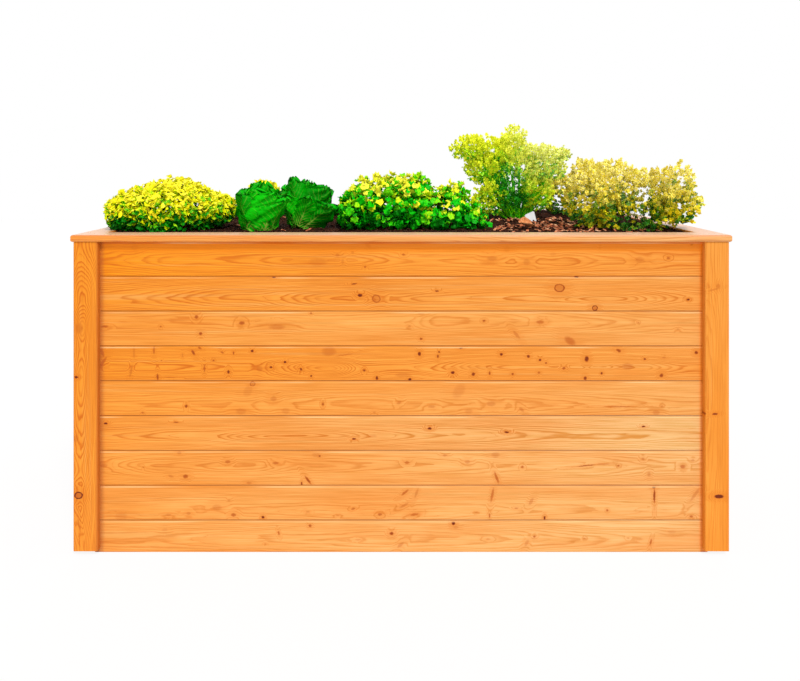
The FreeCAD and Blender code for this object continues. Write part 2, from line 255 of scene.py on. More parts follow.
@dataclass
class Grain:
    """How one piece of wood was sawn from its trunk, and the light and shade painted along its edges."""

    axes: str  # along the grain, across the face, and into the wood
    span: tuple  # ends on the first axis
    middle: float  # middle of the face on the second axis
    face: float  # level of the face on the third axis
    depths: list  # share of the span, and depth in millimetres of the trunk's middle
    inward: int = 1
    off: float = 0.0  # how far the trunk's middle lies off the face's middle
    rings: float = 2.6  # spacing in millimetres
    sway: float = 0.012  # how far the trunk's middle wanders sideways
    seed: float = 0
    tones: tuple = (0.2, 0.6)  # at both ends, from amber 0 to peach 1
    lines: float = 0.6  # strength of the late rings
    knots: tuple = ()  # middle, half sizes, darkness and turn of each
    edges: tuple = None  # levels of the joints below and above a board
    pale_from: float = None  # level from which the top gets painted shade at its rounded edge and painted sheen above
    capped: bool = False
    between: tuple = None  # inner sides of the posts at a board's ends, where the ends get painted shade
    shaded: float = None  # side of a post that turns away from the light, given painted shade


def ring_number(finish, grain, along, across, deep):
    """Growth rings counted from the trunk's middle, which lies behind the face."""
    low, high = grain.span
    stops = [(share, depth / 100) for share, depth in grain.depths]
    depth = finish.ramp((along - low) / (high - low), stops, "EASE") * 0.1
    sway = (finish.wander(along, 1.7, grain.seed) - 0.5) * grain.sway * 2
    sideways = across - (grain.middle + grain.off) - sway
    inward = (deep - grain.face) * -grain.inward + depth
    reach = finish.math("SQRT", sideways * sideways + inward * inward)
    wobble = finish.noise(grain_scale(grain, 5, 38), 3, (grain.seed, 0, 0))
    return reach * (1000 / grain.rings) + (wobble - 0.5) * 2.6


def grain_scale(grain, along, other):
    return [along if axis == grain.axes[0] else other for axis in "XYZ"]


def knot_marks(finish, grain, along, across):
    """The darkness of the knots, and the halo in which the rings bend round them."""
    uneven = finish.noise((260, 260, 260), 2)
    shift = finish.noise((150, 150, 150), 2, (5, 3, 1))
    knot_along, knot_across = along + (uneven - 0.5) * 0.005, across + (shift - 0.5) * 0.004
    marks, halo = None, None
    for centre, half, dark, turn in grain.knots:
        away = []
        for size, side in zip(half, (0, math.pi / 2)):
            by_along, by_across = math.cos(turn + side), math.sin(turn + side)
            start = -(centre[0] * by_along + centre[1] * by_across) / size
            part = finish.math("MULTIPLY_ADD", knot_across, by_across / size, start)
            away.append(finish.math("MULTIPLY_ADD", knot_along, by_along / size, part))
        near = finish.math("MULTIPLY_ADD", away[0], away[0], away[1] * away[1])
        mark = finish.fade(near, 0.2, 1.7, dark * (0.72 if dark < 0.45 else 1))
        if dark > 0.5 and min(half) > 0.006:
            rim = finish.fade(finish.math("ABSOLUTE", near - 0.95), 0.1, 0.6, dark)
            mark = finish.math("MAXIMUM", mark * 0.45, rim)
        ring = finish.fade(near, 0.5, 16, min(1, dark * 1.2))
        marks = mark if marks is None else finish.math("MAXIMUM", marks, mark)
        halo = ring if halo is None else finish.math("MAXIMUM", halo, ring)
    return marks, halo


def ring_colour(finish, grain, along, rings):
    """Pale early wood and dark late rings, with patches, bands and fine fibres."""
    low, high = grain.span
    phase = finish.math("FRACT", rings)
    late = finish.ramp(phase, [(0, 1.0), (0.08, 0.25), (0.3, 0.0), (0.6, 0.2), (0.86, 1.0)])
    band = finish.wander(finish.math("FLOOR", rings), 0.73, grain.seed)
    late = late * finish.rise(band, 0.15, 0.6) * min(1, grain.lines * 1.45)
    patches = finish.noise(grain_scale(grain, 2.2, 16), 2, (0, grain.seed, 0))
    fibres = finish.noise(grain_scale(grain, 9, 420), 2, (0, 0, grain.seed))
    bands = finish.noise(grain_scale(grain, 1.3, 90), 2, (grain.seed, grain.seed, 0))
    early = finish.mix((along - low) / (high - low), mixed(grain.tones[0]), mixed(grain.tones[1]))
    early = finish.mix(finish.rise(patches, 0.35, 0.75) * 0.4, early, OCHRE)
    early = finish.mix(finish.rise(bands, 0.55, 0.75) * 0.35, early, STRAW)
    colour = finish.mix(late, early, finish.mix(1, early, LATE_RINGS, "MULTIPLY"))
    streaks = finish.ramp(fibres, [(0.3, DARK_FIBRES), (0.7, PALE_FIBRES)])
    return finish.mix(1, colour, streaks, "MULTIPLY"), fibres


def painted_edge_light(finish, grain, colour, along, across, deep):
    """Painted sheen and edge shade on the cap's top, painted shade under the cap, in the joints, on the
    posts' turned sides and at the boards' ends, and painted highlights below the joints.
    """
    # painted shade where the cap's top rounds over, and painted sheen on the flat top
    if grain.pale_from:
        painted_band = finish.rise(deep, grain.pale_from, grain.pale_from + 0.002)
        colour = finish.mix(painted_band * 0.5, colour, ROUNDED_EDGE_SHADE)
        sheen_band = finish.rise(deep, grain.pale_from + 0.0038, grain.pale_from + 0.0048)
        colour = finish.mix(sheen_band * 0.64, colour, PAINTED_SHEEN)
    if grain.edges:
        bottom, top = grain.edges
        if grain.capped:
            # painted shade under the cap on the top board: a deep orange band and a darker line
            colour = finish.mix(finish.fade(top - across, 0.022, 0.036, 0.6), colour, CAP_SHADE_ORANGE)
            colour = finish.mix(finish.fade(top - across, 0.0055, 0.0085, 0.6), colour, CAP_SHADOW_LINE)
        # painted shade in the joints: a dark line under each upper board and a fainter one above each lower
        # board
        upper = finish.fade(top - across, 0.0008, 0.0026, 0 if grain.capped else 0.6)
        shadow = finish.math("MAXIMUM", upper, finish.fade(across - bottom, 0.0003, 0.0016, 0.4))
        # painted highlight: a pale line below each joint, glinting in places along the board
        painted_band = finish.fade(finish.math("ABSOLUTE", top - 0.0052 - across), 0.0006, 0.0026, 1)
        glint = finish.rise(finish.wander(along, 4, grain.seed + 40), 0.35, 0.7)
        colour = finish.mix(painted_band * glint * 0.6, colour, JOINT_HIGHLIGHT)
        colour = finish.mix(shadow, colour, JOINT_SHADE)
    # painted shade on the side of a post that turns away from the light
    if grain.shaded:
        turned = finish.rise(across, grain.shaded - 0.007, grain.shaded)
        colour = finish.mix(turned * 0.5, colour, REVEAL_SHADE)
    if grain.between:
        # painted shade at the boards' ends beside the posts: dark at the left, deep orange at the right
        left, right = grain.between
        colour = finish.mix(finish.fade(along - left, 0.001, 0.016, 0.55), colour, LEFT_END_SHADE)
        colour = finish.mix(finish.fade(right - along, 0.002, 0.012, 0.5), colour, RIGHT_END_SHADE)
    return colour


def wood(name, grain, roughness=0.5, coat=0.0):
    """Planed softwood: growth rings cut by the faces, fine fibres, patches of tone, and knots."""
    finish = Finish(name, Coat_Weight=coat, Coat_Roughness=0.38, Specular_IOR_Level=0.2)
    split = finish.node("SeparateXYZ", None, {"Vector": finish.place})
    along, across, deep = (Number(finish, split.outputs[axis]) for axis in grain.axes)
    rings = ring_number(finish, grain, along, across, deep)
    marks, halo = knot_marks(finish, grain, along, across)
    if grain.knots:
        rings = rings + halo * 2.2
    colour, fibres = ring_colour(finish, grain, along, rings)
    if grain.knots:
        colour = finish.mix(halo * 0.35, colour, HALO)
        colour = finish.mix(finish.math("MINIMUM", marks * 1.5, 0.9), colour, BURL)
        colour = finish.mix(finish.rise(marks, 0.42, 0.85), colour, KNOT)
    colour = painted_edge_light(finish, grain, colour, along, across, deep)
    return finish.use(colour, fibres * 0.2 + (roughness - 0.1), fibres)


# ---------------------------------------------------------------- the wood of the bed

# photo place, half size along and across the grain in pixels, darkness, and the turn in degrees
# where there is one
KNOTS = {
    "front_board_9": [
        (134.6, 247, 4, 3, 0.35), (337.4, 255, 2, 1.5, 0.4), (352.7, 252, 1.5, 1.3, 0.4),
        (342.7, 261.5, 1.5, 2.5, 0.3), (368, 245.5, 3.5, 2, 0.4, 30), (365, 267, 1.2, 1, 0.5),
        (403.7, 254.6, 1.6, 1.2, 0.5), (318, 262, 9, 4, 0.25), (507, 249, 3.2, 2.6, 0.35),
        (492, 258.5, 5, 2.2, 0.35), (526.7, 262.2, 3.5, 3, 0.3), (553, 254, 3, 2, 0.15),
        (600, 248, 1.2, 1, 0.3), (639.7, 259.7, 4.5, 3, 0.3), (668.4, 258.4, 1.8, 1.2, 0.5),
        (691.6, 244.8, 1.5, 0.8, 0.8),
    ],
    "front_board_8": [
        (273.9, 277.4, 2, 0.8, 0.8), (354, 283.9, 3, 0.6, 0.7, -8), (360, 295.4, 2.4, 1.5, 0.9),
        (376.3, 298.7, 3.8, 3.6, 0.55), (437, 291, 2, 0.9, 0.7), (576.5, 277, 2.5, 0.7, 0.8),
        (559.5, 288, 4.8, 3.6, 0.6), (595, 308, 2.6, 2.4, 0.85), (688.4, 299.6, 1.6, 1, 0.85),
    ],
    "front_board_7": [
        (104.6, 326.4, 3.5, 1.2, 0.5), (160.8, 326.7, 1, 1, 0.5), (196.5, 317, 2, 1.8, 0.55),
        (200.6, 333.7, 1.8, 1.6, 0.6), (241.8, 323, 2.8, 1.8, 0.55), (277, 327, 8, 2.5, 0.4),
        (311, 313.3, 1, 1, 0.5), (421, 338.8, 1.4, 1.4, 0.6), (409.4, 326.4, 1.5, 1, 0.35),
        (421, 314, 4, 1, 0.25), (484, 320.7, 1.5, 1, 0.6), (540, 322, 3.8, 1.8, 0.45),
        (516.5, 334.7, 5, 1.5, 0.4, 50), (570, 341, 6, 3.5, 0.45, 35), (638.4, 322.6, 1, 0.8, 0.4),
        (678, 329.3, 1.5, 1, 0.3),
    ],
    "front_board_6": [
        (102, 352, 1.5, 5, 0.45, -20), (103, 362, 1.5, 6, 0.45, 35), (134, 352, 1.2, 6, 0.3),
        (154, 350, 1, 4, 0.45), (131, 371, 1.2, 6, 0.4, 12), (157.6, 377, 1, 3.5, 0.6),
        (170.3, 377.6, 5, 0.5, 0.4), (193.3, 352.5, 1.4, 3, 0.6, -30), (199.7, 348, 2, 1, 0.5, 30),
        (182.4, 355.3, 0.8, 1.8, 0.35), (222.2, 352.5, 1.8, 0.9, 0.5, 30), (233.5, 353.1, 0.8, 1.6, 0.6),
        (252.2, 351, 1.5, 1.2, 0.8), (213.4, 360.4, 1, 0.8, 0.6), (204.4, 368.5, 0.9, 3.5, 0.5),
        (228.4, 371.8, 1.3, 2, 0.75), (161.4, 360.4, 1, 0.7, 0.5), (285, 362, 1.3, 1.2, 0.85),
        (271, 367.2, 1.4, 1.2, 0.75), (259.6, 368.7, 3.2, 2.6, 0.35), (301, 369.3, 1.2, 1.3, 0.7),
        (311.2, 376.1, 1, 1.2, 0.75), (329, 351.5, 7, 4.5, 0.4), (344, 355, 9, 0.7, 0.4, -10),
        (364.2, 370.6, 1.3, 1.2, 0.7), (376.9, 378, 1.3, 2, 0.8, -10), (409.8, 379.4, 1.6, 1.3, 0.85),
        (419.4, 353.8, 1.6, 2.2, 0.75), (439, 352, 1, 1, 0.8), (437.8, 356.5, 0.9, 1.8, 0.65),
        (403, 375, 8, 2.2, 0.3), (461, 348, 2, 1, 0.75), (452.8, 372.5, 1.9, 1.5, 0.85),
        (473.4, 374.2, 1.7, 1.7, 0.7), (489.7, 373.2, 1, 2, 0.6), (501.2, 354.4, 1.6, 1.5, 0.8),
        (528.3, 356.3, 1.6, 1.5, 0.7), (540.1, 359.8, 1.4, 1.3, 0.75), (546.1, 363, 1.2, 1.1, 0.6),
        (512.7, 374.2, 1.2, 1.2, 0.6), (538.9, 372.5, 1.3, 1.1, 0.5), (564, 368.3, 1.7, 1.4, 0.55),
        (586.7, 358.9, 2.1, 3, 0.75), (585.2, 378.3, 1.6, 2, 0.7), (601.7, 373.4, 1, 1.2, 0.75),
        (627.5, 366.5, 5.5, 3.2, 0.4), (618.6, 350.5, 2.6, 1.6, 0.6, 30), (644.8, 359.1, 1.3, 1, 0.7),
        (664, 357.5, 2, 0.8, 0.4), (661.4, 375.5, 1.8, 2, 0.65, 30), (696.2, 352.5, 1.8, 1.8, 0.7),
    ],
    "front_board_5": [
        (186.3, 406.3, 1.2, 1.6, 0.65), (142.7, 412.6, 1, 1.2, 0.45), (241, 411.4, 5, 3, 0.3),
        (252.6, 383.8, 2.5, 2.2, 0.55), (248, 391, 4, 6, 0.2, 25), (273.6, 398.7, 3, 2.5, 0.35),
        (285.7, 410.8, 4, 3, 0.25), (323, 404, 1.1, 1.5, 0.6), (399.2, 402.5, 2.4, 1.5, 0.35, -35),
        (431.8, 406.7, 3.5, 1.5, 0.35), (374.4, 412.6, 1.5, 1, 0.35), (459, 391, 5, 8, 0.22, 35),
        (491, 403.8, 4.5, 2.5, 0.35), (468.7, 411.4, 4, 2.6, 0.25), (521.6, 409.5, 3, 1.6, 0.4, 40),
        (618.6, 406.6, 14, 0.6, 0.45), (656.3, 412.5, 3.6, 2.4, 0.35), (662, 406.3, 1.3, 1, 0.35),
    ],
    "front_board_4": [
        (105.7, 423.5, 2, 1, 0.85), (176.3, 422.3, 2.6, 0.7, 0.6), (354, 438.9, 2, 1, 0.75),
        (429.8, 428.4, 2.2, 1.2, 0.8), (506.6, 432.2, 2.4, 1, 0.8), (643.5, 426.5, 2, 0.8, 0.85),
        (372, 436, 5, 1.5, 0.2),
    ],
    "front_board_3": [
        (179.3, 452.8, 2.2, 1.6, 0.35), (103.6, 465.4, 4, 2, 0.35), (227.7, 461.8, 2.6, 1.6, 0.45),
        (143.3, 467.5, 0.6, 1, 0.4), (171, 476.3, 2.6, 1.4, 0.35, 20), (185.6, 476.4, 2.6, 2, 0.55),
        (248.8, 483, 2.5, 1.4, 0.4), (275.5, 463, 3, 1.4, 0.45), (319.5, 455.8, 1.2, 1, 0.6),
        (316, 455, 4, 2, 0.25), (308, 480, 1.2, 5, 0.6, -35), (301.7, 483.5, 0.8, 1.8, 0.7),
        (406.9, 462.6, 2.4, 1.3, 0.45), (445, 455.4, 2.4, 1, 0.4), (467.4, 461.8, 2.6, 1.8, 0.35),
        (495.5, 454.8, 4, 2.8, 0.3), (496.5, 477.5, 1.2, 6, 0.5, -20), (522.3, 466.9, 1.4, 1.2, 0.5),
        (586, 465.6, 9, 0.5, 0.65, -6), (604, 464.2, 6, 0.6, 0.35), (618.4, 465.7, 1.4, 0.9, 0.5),
        (642.9, 459, 1.5, 1.4, 0.4), (648.9, 474.3, 1.6, 2.4, 0.35), (682.7, 466.7, 2.6, 1.7, 0.45),
        (692.7, 460.3, 2, 1.2, 0.35),
    ],
    "front_board_2": [
        (121.2, 516.5, 6, 4, 0.22), (168.4, 514.9, 3, 1.2, 0.35), (188.6, 513.3, 2.2, 1.4, 0.35),
        (216.9, 507.5, 4.5, 3, 0.25), (233.5, 514.9, 2.6, 1.8, 0.5), (229, 500.5, 1.4, 1, 0.3),
        (263, 517.2, 1.4, 1.3, 0.85), (307.6, 512, 2, 0.8, 0.3), (337.8, 515.4, 1.8, 0.8, 0.3),
        (353, 508.8, 2, 0.9, 0.45, -15), (380, 514.3, 2.2, 1.3, 0.5), (405, 492.5, 1.2, 4.5, 0.5, 50),
        (404, 505.5, 1.2, 5, 0.4, 60), (416.5, 493, 1.2, 5, 0.35, 20), (414.5, 514.5, 4, 1.2, 0.45, -12),
        (492.3, 495, 1.3, 7, 0.45, 10), (489.5, 515.6, 0.8, 2.4, 0.5), (531.2, 501.5, 1.6, 4, 0.35, 30),
        (544.6, 518, 1, 2, 0.85), (516.5, 508, 2, 0.6, 0.45), (476.2, 512.6, 1.6, 0.6, 0.4),
        (607.2, 510.4, 1, 1, 0.5), (654.4, 496, 1, 7.5, 0.65), (654, 487.4, 1.8, 1.2, 0.8),
        (695, 494.5, 1.5, 8, 0.35, 35), (691.4, 516.4, 1.8, 1, 0.5),
    ],
    "front_board_1": [
        (164.6, 530, 3, 1.5, 0.18), (278.7, 533, 0.9, 2.2, 0.5, -15), (310, 525.7, 1.4, 1.4, 0.55),
        (265.3, 544, 1, 0.8, 0.4), (391.6, 533.4, 2, 1.7, 0.65), (358, 539.8, 3, 0.8, 0.25),
        (400.5, 545, 1.6, 4, 0.35, 50), (453.4, 523.3, 1.8, 1.8, 0.85), (456, 527.5, 2.5, 1.5, 0.25),
        (488, 539.2, 2.4, 0.9, 0.3), (526.7, 543, 1.6, 3.6, 0.3, 30), (534.4, 536.6, 1.4, 1.2, 0.5),
        (584.5, 538.5, 1.2, 0.8, 0.3), (628, 538, 1.2, 0.8, 0.3), (650.8, 542, 0.9, 3, 0.5, 15),
        (672, 532, 4, 2, 0.15),
    ],
    "post_front_left": [
        (79.1, 328.3, 4, 5, 0.35), (76.2, 377.2, 1.8, 1.2, 0.9), (78.5, 495.4, 3.8, 3.2, 1.0),
        (76, 439, 2.5, 3.5, 0.3), (79, 525, 1, 7, 0.4, -10),
    ],
    "post_front_right": [
        (718.2, 286.2, 2, 2.4, 0.4), (714.5, 289.5, 6, 0.8, 0.35, -15), (715, 414, 3, 1.1, 0.7, -5),
        (704.8, 414, 1.2, 1.5, 0.6), (719, 496.5, 4.5, 2, 0.95),
    ],
}

# along the photo: pixel and depth in millimetres of the trunk's middle behind the face, then the
# trunk's middle across the face in metres, the ring spacing in millimetres, the strength of the
# lines, and the tones at the left and right ends, from amber 0 to peach 1
FRONT_GRAIN = {
    9: ([(100, 40), (180, 28), (330, 14), (420, 30), (560, 22), (610, 32), (700, 38)],
        -0.004, 4.2, 0.55, (0.0, 0.32)),
    8: ([(100, 52), (240, 36), (350, 18), (395, 28), (430, 24), (540, 18), (610, 12), (700, 32)],
        -0.014, 2.8, 0.62, (0.1, 0.42)),
    7: ([(100, 66), (400, 62), (440, 56), (700, 70)], 0.018, 2.2, 0.4, (0.25, 0.55)),
    6: ([(100, 30), (250, 36), (330, 16), (365, 32), (400, 32), (520, 10), (600, 8), (700, 24)],
        -0.012, 2.4, 0.66, (0.08, 0.36)),
    5: ([(100, 68), (380, 60), (700, 74)], -0.02, 2.1, 0.45, (0.18, 0.62)),
    4: ([(100, 28), (200, 20), (275, 5), (450, 26), (560, 34), (700, 38)],
        -0.008, 3.0, 0.6, (0.2, 1.15)),
    3: ([(100, 44), (160, 34), (250, 28), (300, 36), (560, 48), (700, 56)],
        0.006, 2.6, 0.46, (0.26, 0.94)),
    2: ([(100, 64), (400, 58), (700, 66)], -0.022, 2.2, 0.42, (0.36, 0.86)),
    1: ([(100, 74), (400, 66), (700, 80)], -0.01, 2.4, 0.4, (0.4, 0.96)),
}


def photo_knots(name, plane, axes="XZY"):
    """The knots of a front piece: middle and half size along and across the grain, and turn."""
    pixel = (plane - EYE.y) / FOCAL
    first, second = (AXES[axis] for axis in axes[:2])
    found = []
    for u, v, wide, high, dark, *turn in KNOTS[name]:
        spot = at(u, v, plane)
        half = (wide * pixel, high * pixel) if first == 0 else (high * pixel, wide * pixel)
        lean = math.radians(turn[0] if turn else 0) * (-1 if first == 0 else 1)
        found.append(((spot[first], spot[second]), half, dark, lean))
    return found


def loose_knots(rng, count, axes, low, high):
    """Knots scattered over a piece that the photo doesn't show."""
    found = []
    first, second = (AXES[axis] for axis in axes[:2])
    for _ in range(count):
        centre = (rng.uniform(low[first], high[first]), rng.uniform(low[second], high[second]))
        size = rng.uniform(0.002, 0.007)
        found.append((centre, (size * rng.uniform(1, 1.6), size), rng.uniform(0.35, 0.9), 0))
    return found


def loose_depths(rng, steps=5, low=12, high=60):
    """A wandering depth of the trunk's middle."""
    depth, found = rng.uniform(low, high), []
    for step in range(steps):
        found.append((step / (steps - 1), depth))
        depth = min(high, max(low, depth + rng.uniform(-22, 22)))
    return found


def dress(name, material):
    """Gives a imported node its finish."""
    slots = nodes[name].data.materials
    slots.clear()
    slots.append(material)


def sawn(name, axes, seed, outside, loose=3, **changes):
    """The grain of a piece that has no close match in the photo."""
    rng = random.Random(seed)
    low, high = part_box(name)
    first, second, third = (AXES[axis] for axis in axes)
    face = high[third] if outside > 0 else low[third]
    settings = {
        "depths": loose_depths(rng),
        "off": rng.uniform(-0.02, 0.02),
        "rings": rng.uniform(2.2, 3.2),
        "seed": rng.uniform(1, 90),
        "tones": (rng.uniform(0.05, 0.5), rng.uniform(0.2, 0.7)),
        "lines": rng.uniform(0.42, 0.62),
        "knots": loose_knots(rng, loose, axes, low, high),
    }
    settings.update(changes)
    middle = (low[second] + high[second]) / 2
    if "_board_" in name:
        settings["edges"] = board_edges(int(name[-1]))
    return Grain(axes, (low[first], high[first]), middle, face, inward=outside, **settings)


def board_edges(row):
    """The levels of a row's lower and upper joint."""
    low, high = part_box(f"front_board_{row}")
    above = f"front_board_{row + 1}"
    return low.z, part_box(above)[0].z if above in nodes else high.z


def dress_walls():
    rows = sum(name.startswith("front_board_") for name in nodes)
    for row in range(1, rows + 1):
        depths, off, rings, lines, tones = FRONT_GRAIN[row]
        name = f"front_board_{row}"
        low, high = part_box(name)
        ends = [(at(u, 0, FACE_Y).x - low.x) / (high.x - low.x) for u, _ in depths]
        stops = [(min(1, max(0, end)), depth) for end, (_, depth) in zip(ends, depths)]
        edges = board_edges(row)
        grain = Grain("XZY", (low.x, high.x), sum(edges) / 2, FACE_Y, stops, -1, off, rings, 0.006,
                      row * 7.3, tones, lines, photo_knots(name, FACE_Y), edges, capped=row == rows,
                      between=(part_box("post_front_left")[1].x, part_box("post_front_right")[0].x))
        dress(name, wood(f"{name}_wood", grain))
        for side, axes, seed, outside, loose in (
            ("back", "XZY", 100, 1, 4), ("left", "YZX", 200, -1, 2), ("right", "YZX", 300, 1, 2),
        ):
            board = f"{side}_board_{row}"
            dress(board, wood(f"{board}_wood", sawn(board, axes, seed + row, outside, loose)))


def dress_posts():
    low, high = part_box("post_front_left")

    def level(v):
        return (at(0, v, POST_Y).z - low.z) / (high.z - low.z)

    depths = [
        (551, 36), (495, 22), (470, 32), (430, 22), (377, 14), (350, 20), (328, 10), (300, 28), (243, 52),
    ]
    left = [(min(1, max(0, level(v))), depth) for v, depth in depths]
    dress("post_front_left", wood("post_front_left_wood", sawn(
        "post_front_left", "ZXY", 31, -1, depths=left, off=-0.012, rings=2.7, sway=0.006, lines=0.95,
        tones=(0.16, 0.06), knots=photo_knots("post_front_left", POST_Y, "ZXY"), shaded=high.x)))
    dress("post_front_right", wood("post_front_right_wood", sawn(
        "post_front_right", "ZXY", 32, -1, depths=[(0, 60), (0.5, 52), (1, 64)], off=-0.03, rings=2.4,
        lines=0.34, tones=(0.16, 0.24), knots=photo_knots("post_front_right", POST_Y, "ZXY"))))
    for seed, name in enumerate(("post_back_left", "post_back_right")):
        dress(name, wood(f"{name}_wood", sawn(name, "ZXY", 33 + seed, 1)))


def dress_cap():
    for seed, side in enumerate(("front", "right", "back", "left")):
        name = f"cap_rail_{side}"
        axes = "XYZ" if side in ("front", "back") else "YXZ"
        grain = sawn(name, axes, 50 + seed, 1, 2, off=0.03, rings=3.2, lines=0.5, tones=(0.05, 0.7),
                     pale_from=CAP_Z - 0.005)
        dress(name, wood(f"{name}_wood", grain, 0.5, 1.0))


def dress_braces():
    for seed, name in enumerate(("stile_front", "stile_back", "cross_tie")):
        axes = "YZX" if name == "cross_tie" else "ZXY"
        grain = sawn(name, axes, 60 + seed, 1, tones=(0.5, 0.7))
        dress(name, wood(f"{name}_wood", grain, 0.75))


# ---------------------------------------------------------------- liner, mesh and screws

def dress_liner():
    finish = Finish("liner_film", Roughness=0.45)
    cells = finish.out("TexVoronoi", {"feature": "F1"}, {"Vector": finish.place, "Scale": 60}, "Distance")
    dress("liner", finish.use(finish.ramp(cells, [(0, 0.012), (1, 0.03)]), None, cells, 0.002))


def dress_mesh():
    """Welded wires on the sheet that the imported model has, with clear gaps between them."""
    finish = Finish("mesh_wire", Metallic=1.0, Roughness=0.4)
    split = finish.node("SeparateXYZ", None, {"Vector": finish.place})
    bars = []
    for axis in "XY":
        step = finish.math("PINGPONG", Number(finish, split.outputs[axis]), 0.0065)
        bars.append(1 - finish.rise(step, 0.0006, 0.0009))
    wires = finish.math("MAXIMUM", *bars)
    finish.feed(finish.shader.inputs["Alpha"], wires)
    dress("ground_mesh", finish.use(finish.mix(wires, tone(120, 122, 124), tone(186, 188, 190))))


class Shape:
    """A small shape that is laid down many times."""

    def __init__(self, make, form=None):
        bm = bmesh.new()
        make(bm)
        if form:
            for vert in bm.verts:
                vert.co = form(vert.co)
        self.mesh = bpy.data.meshes.new("small_shape")
        bm.to_mesh(self.mesh)
        bm.free()
        self.faces = len(self.mesh.polygons)
        self.rest = [0.0] * (3 * len(self.mesh.vertices))
        self.mesh.vertices.foreach_get("co", self.rest)

    def lay(self, bm, place):
        self.mesh.vertices.foreach_set("co", self.rest)
        self.mesh.transform(place)
        bm.from_mesh(self.mesh)


def keep(bm, name, material, slot, *stands_for, smooth=False):
    """Makes a piece of the finished shape, hangs it under the root body and hides the parts it stands for.
    """
    mesh = bpy.data.meshes.new(name)
    bm.to_mesh(mesh)
    bm.free()
    mesh.materials.append(material)
    if smooth:
        mesh.shade_smooth()
    piece = bpy.data.objects.new(name, mesh)
    bpy.context.scene.collection.objects.link(piece)
    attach(piece, "root")
    if stands_for:
        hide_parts(*stands_for)
    return piece


def islands(mesh):
    """The corners of each separate solid in a mesh."""
    bm = bmesh.new()
    bm.from_mesh(mesh)
    bmesh.ops.remove_doubles(bm, verts=bm.verts, dist=1e-5)
    left, found = set(bm.verts), []
    while left:
        group, edge = set(), [left.pop()]
        while edge:
            vert = edge.pop()
            group.add(vert)
            for link in vert.link_edges:
                other = link.other_vert(vert)
                if other in left:
                    left.discard(other)
                    edge.append(other)
        found.append([vert.co.copy() for vert in group])
    bm.free()
    return found


def cut_screw(bm, length):
    """A countersunk screw with a six-lobed recess and a threaded shank, driven along -Z."""
    head, neck, sides = 0.0043, 0.0022, 24
    bmesh.ops.create_circle(bm, cap_ends=True, segments=sides, radius=head)
    top = next(iter(bm.faces))
    bmesh.ops.inset_region(bm, faces=[top], thickness=head * 0.45)
    for index, vert in enumerate(sorted(top.verts, key=lambda v: math.atan2(v.co.y, v.co.x))):
        vert.co.xy *= 1.12 if index % 4 < 2 else 0.78
    well = bmesh.ops.extrude_discrete_faces(bm, faces=[top])["faces"][0]
    bmesh.ops.translate(bm, verts=well.verts, vec=(0, 0, -0.0019))
    rim = [edge for edge in bm.edges if edge.is_boundary]
    turns = 14
    levels = [(head - neck + 0.0001, neck)]
    for step in range(turns):
        level = 0.006 + (length - 0.010) * step / turns
        levels += [(level, neck * 0.72), (level + 0.0009, neck)]
    levels += [(length - 0.004, neck * 0.8), (length, neck * 0.08)]
    radius = head
    for level, wide in levels:
        ring = bmesh.ops.extrude_edge_only(bm, edges=rim)["geom"]
        verts = [part for part in ring if isinstance(part, bmesh.types.BMVert)]
        rim = [part for part in ring if isinstance(part, bmesh.types.BMEdge) and part.is_boundary]
        for vert in verts:
            vert.co.xy *= wide / radius
            vert.co.z = -level
        radius = wide
    bmesh.ops.holes_fill(bm, edges=rim)
    bmesh.ops.recalc_face_normals(bm, faces=bm.faces)


def add_screws(name):
    """Detailed screws in the places of a packed group of screws."""
    bm = bmesh.new()
    screw = None
    for corners in islands(nodes[name].data):
        low = Vector([min(c[axis] for c in corners) for axis in range(3)])
        high = Vector([max(c[axis] for c in corners) for axis in range(3)])
        middle = (low + high) / 2
        axis = max(range(3), key=lambda index: high[index] - low[index])
        length = high[axis] - low[axis]
        ends = []
        for level in (low[axis], high[axis]):
            wide = max((Vector(c) - middle).length for c in corners if abs(c[axis] - level) < 1e-4)
            ends.append((wide, level))
        head = max(ends)[1]
        point = middle.copy()
        point[axis] = head
        back = Vector((0, 0, 0))
        back[axis] = -1 if head == low[axis] else 1
        screw = screw or Shape(lambda bm: cut_screw(bm, length))
        screw.lay(bm, Matrix.Translation(point) @ back.to_track_quat("Z", "Y").to_matrix().to_4x4())
    finish = Finish(f"{name}_steel", Metallic=1.0, Roughness=0.34)
    grain = finish.noise((700, 700, 700), 2)
    colour = finish.ramp(grain, [(0.3, tone(168, 158, 132)), (0.7, tone(206, 198, 174))])
    keep(bm, name + "_detailed", finish.use(colour, grain * 0.2 + 0.25), "screw_steel", name)


# ---------------------------------------------------------------- soil and what lies on it

def soil_level(x, y):
    """The height of the soil's surface: crumbly, and a little higher towards the back."""
    spot = Vector((x, y, 0))
    heap = 0.007 * max(0, min(1, (y + 0.1) / 0.4))
    lumps = 0.006 * noise.noise(spot * 9) + 0.004 * noise.noise(spot * 31) + 0.003 * noise.noise(spot * 85)
    return SOIL_Z + 0.004 + heap + max(-0.003, lumps)


def soil_finish(name):
    finish = Finish(name, Roughness=0.95, Specular_IOR_Level=0.05)
    lumps = finish.noise((160, 160, 160), 4)
    specks = finish.noise((420, 420, 420), 2, (3, 1, 0))
    colour = finish.ramp(lumps, [(0.35, tone(20, 8, 6)), (0.55, tone(48, 22, 14)), (0.72, tone(96, 50, 32))])
    colour = finish.mix(finish.rise(specks, 0.62, 0.7) * 0.5, colour, tone(176, 140, 112))
    return finish.use(colour, None, lumps + specks * 0.5, 0.003)


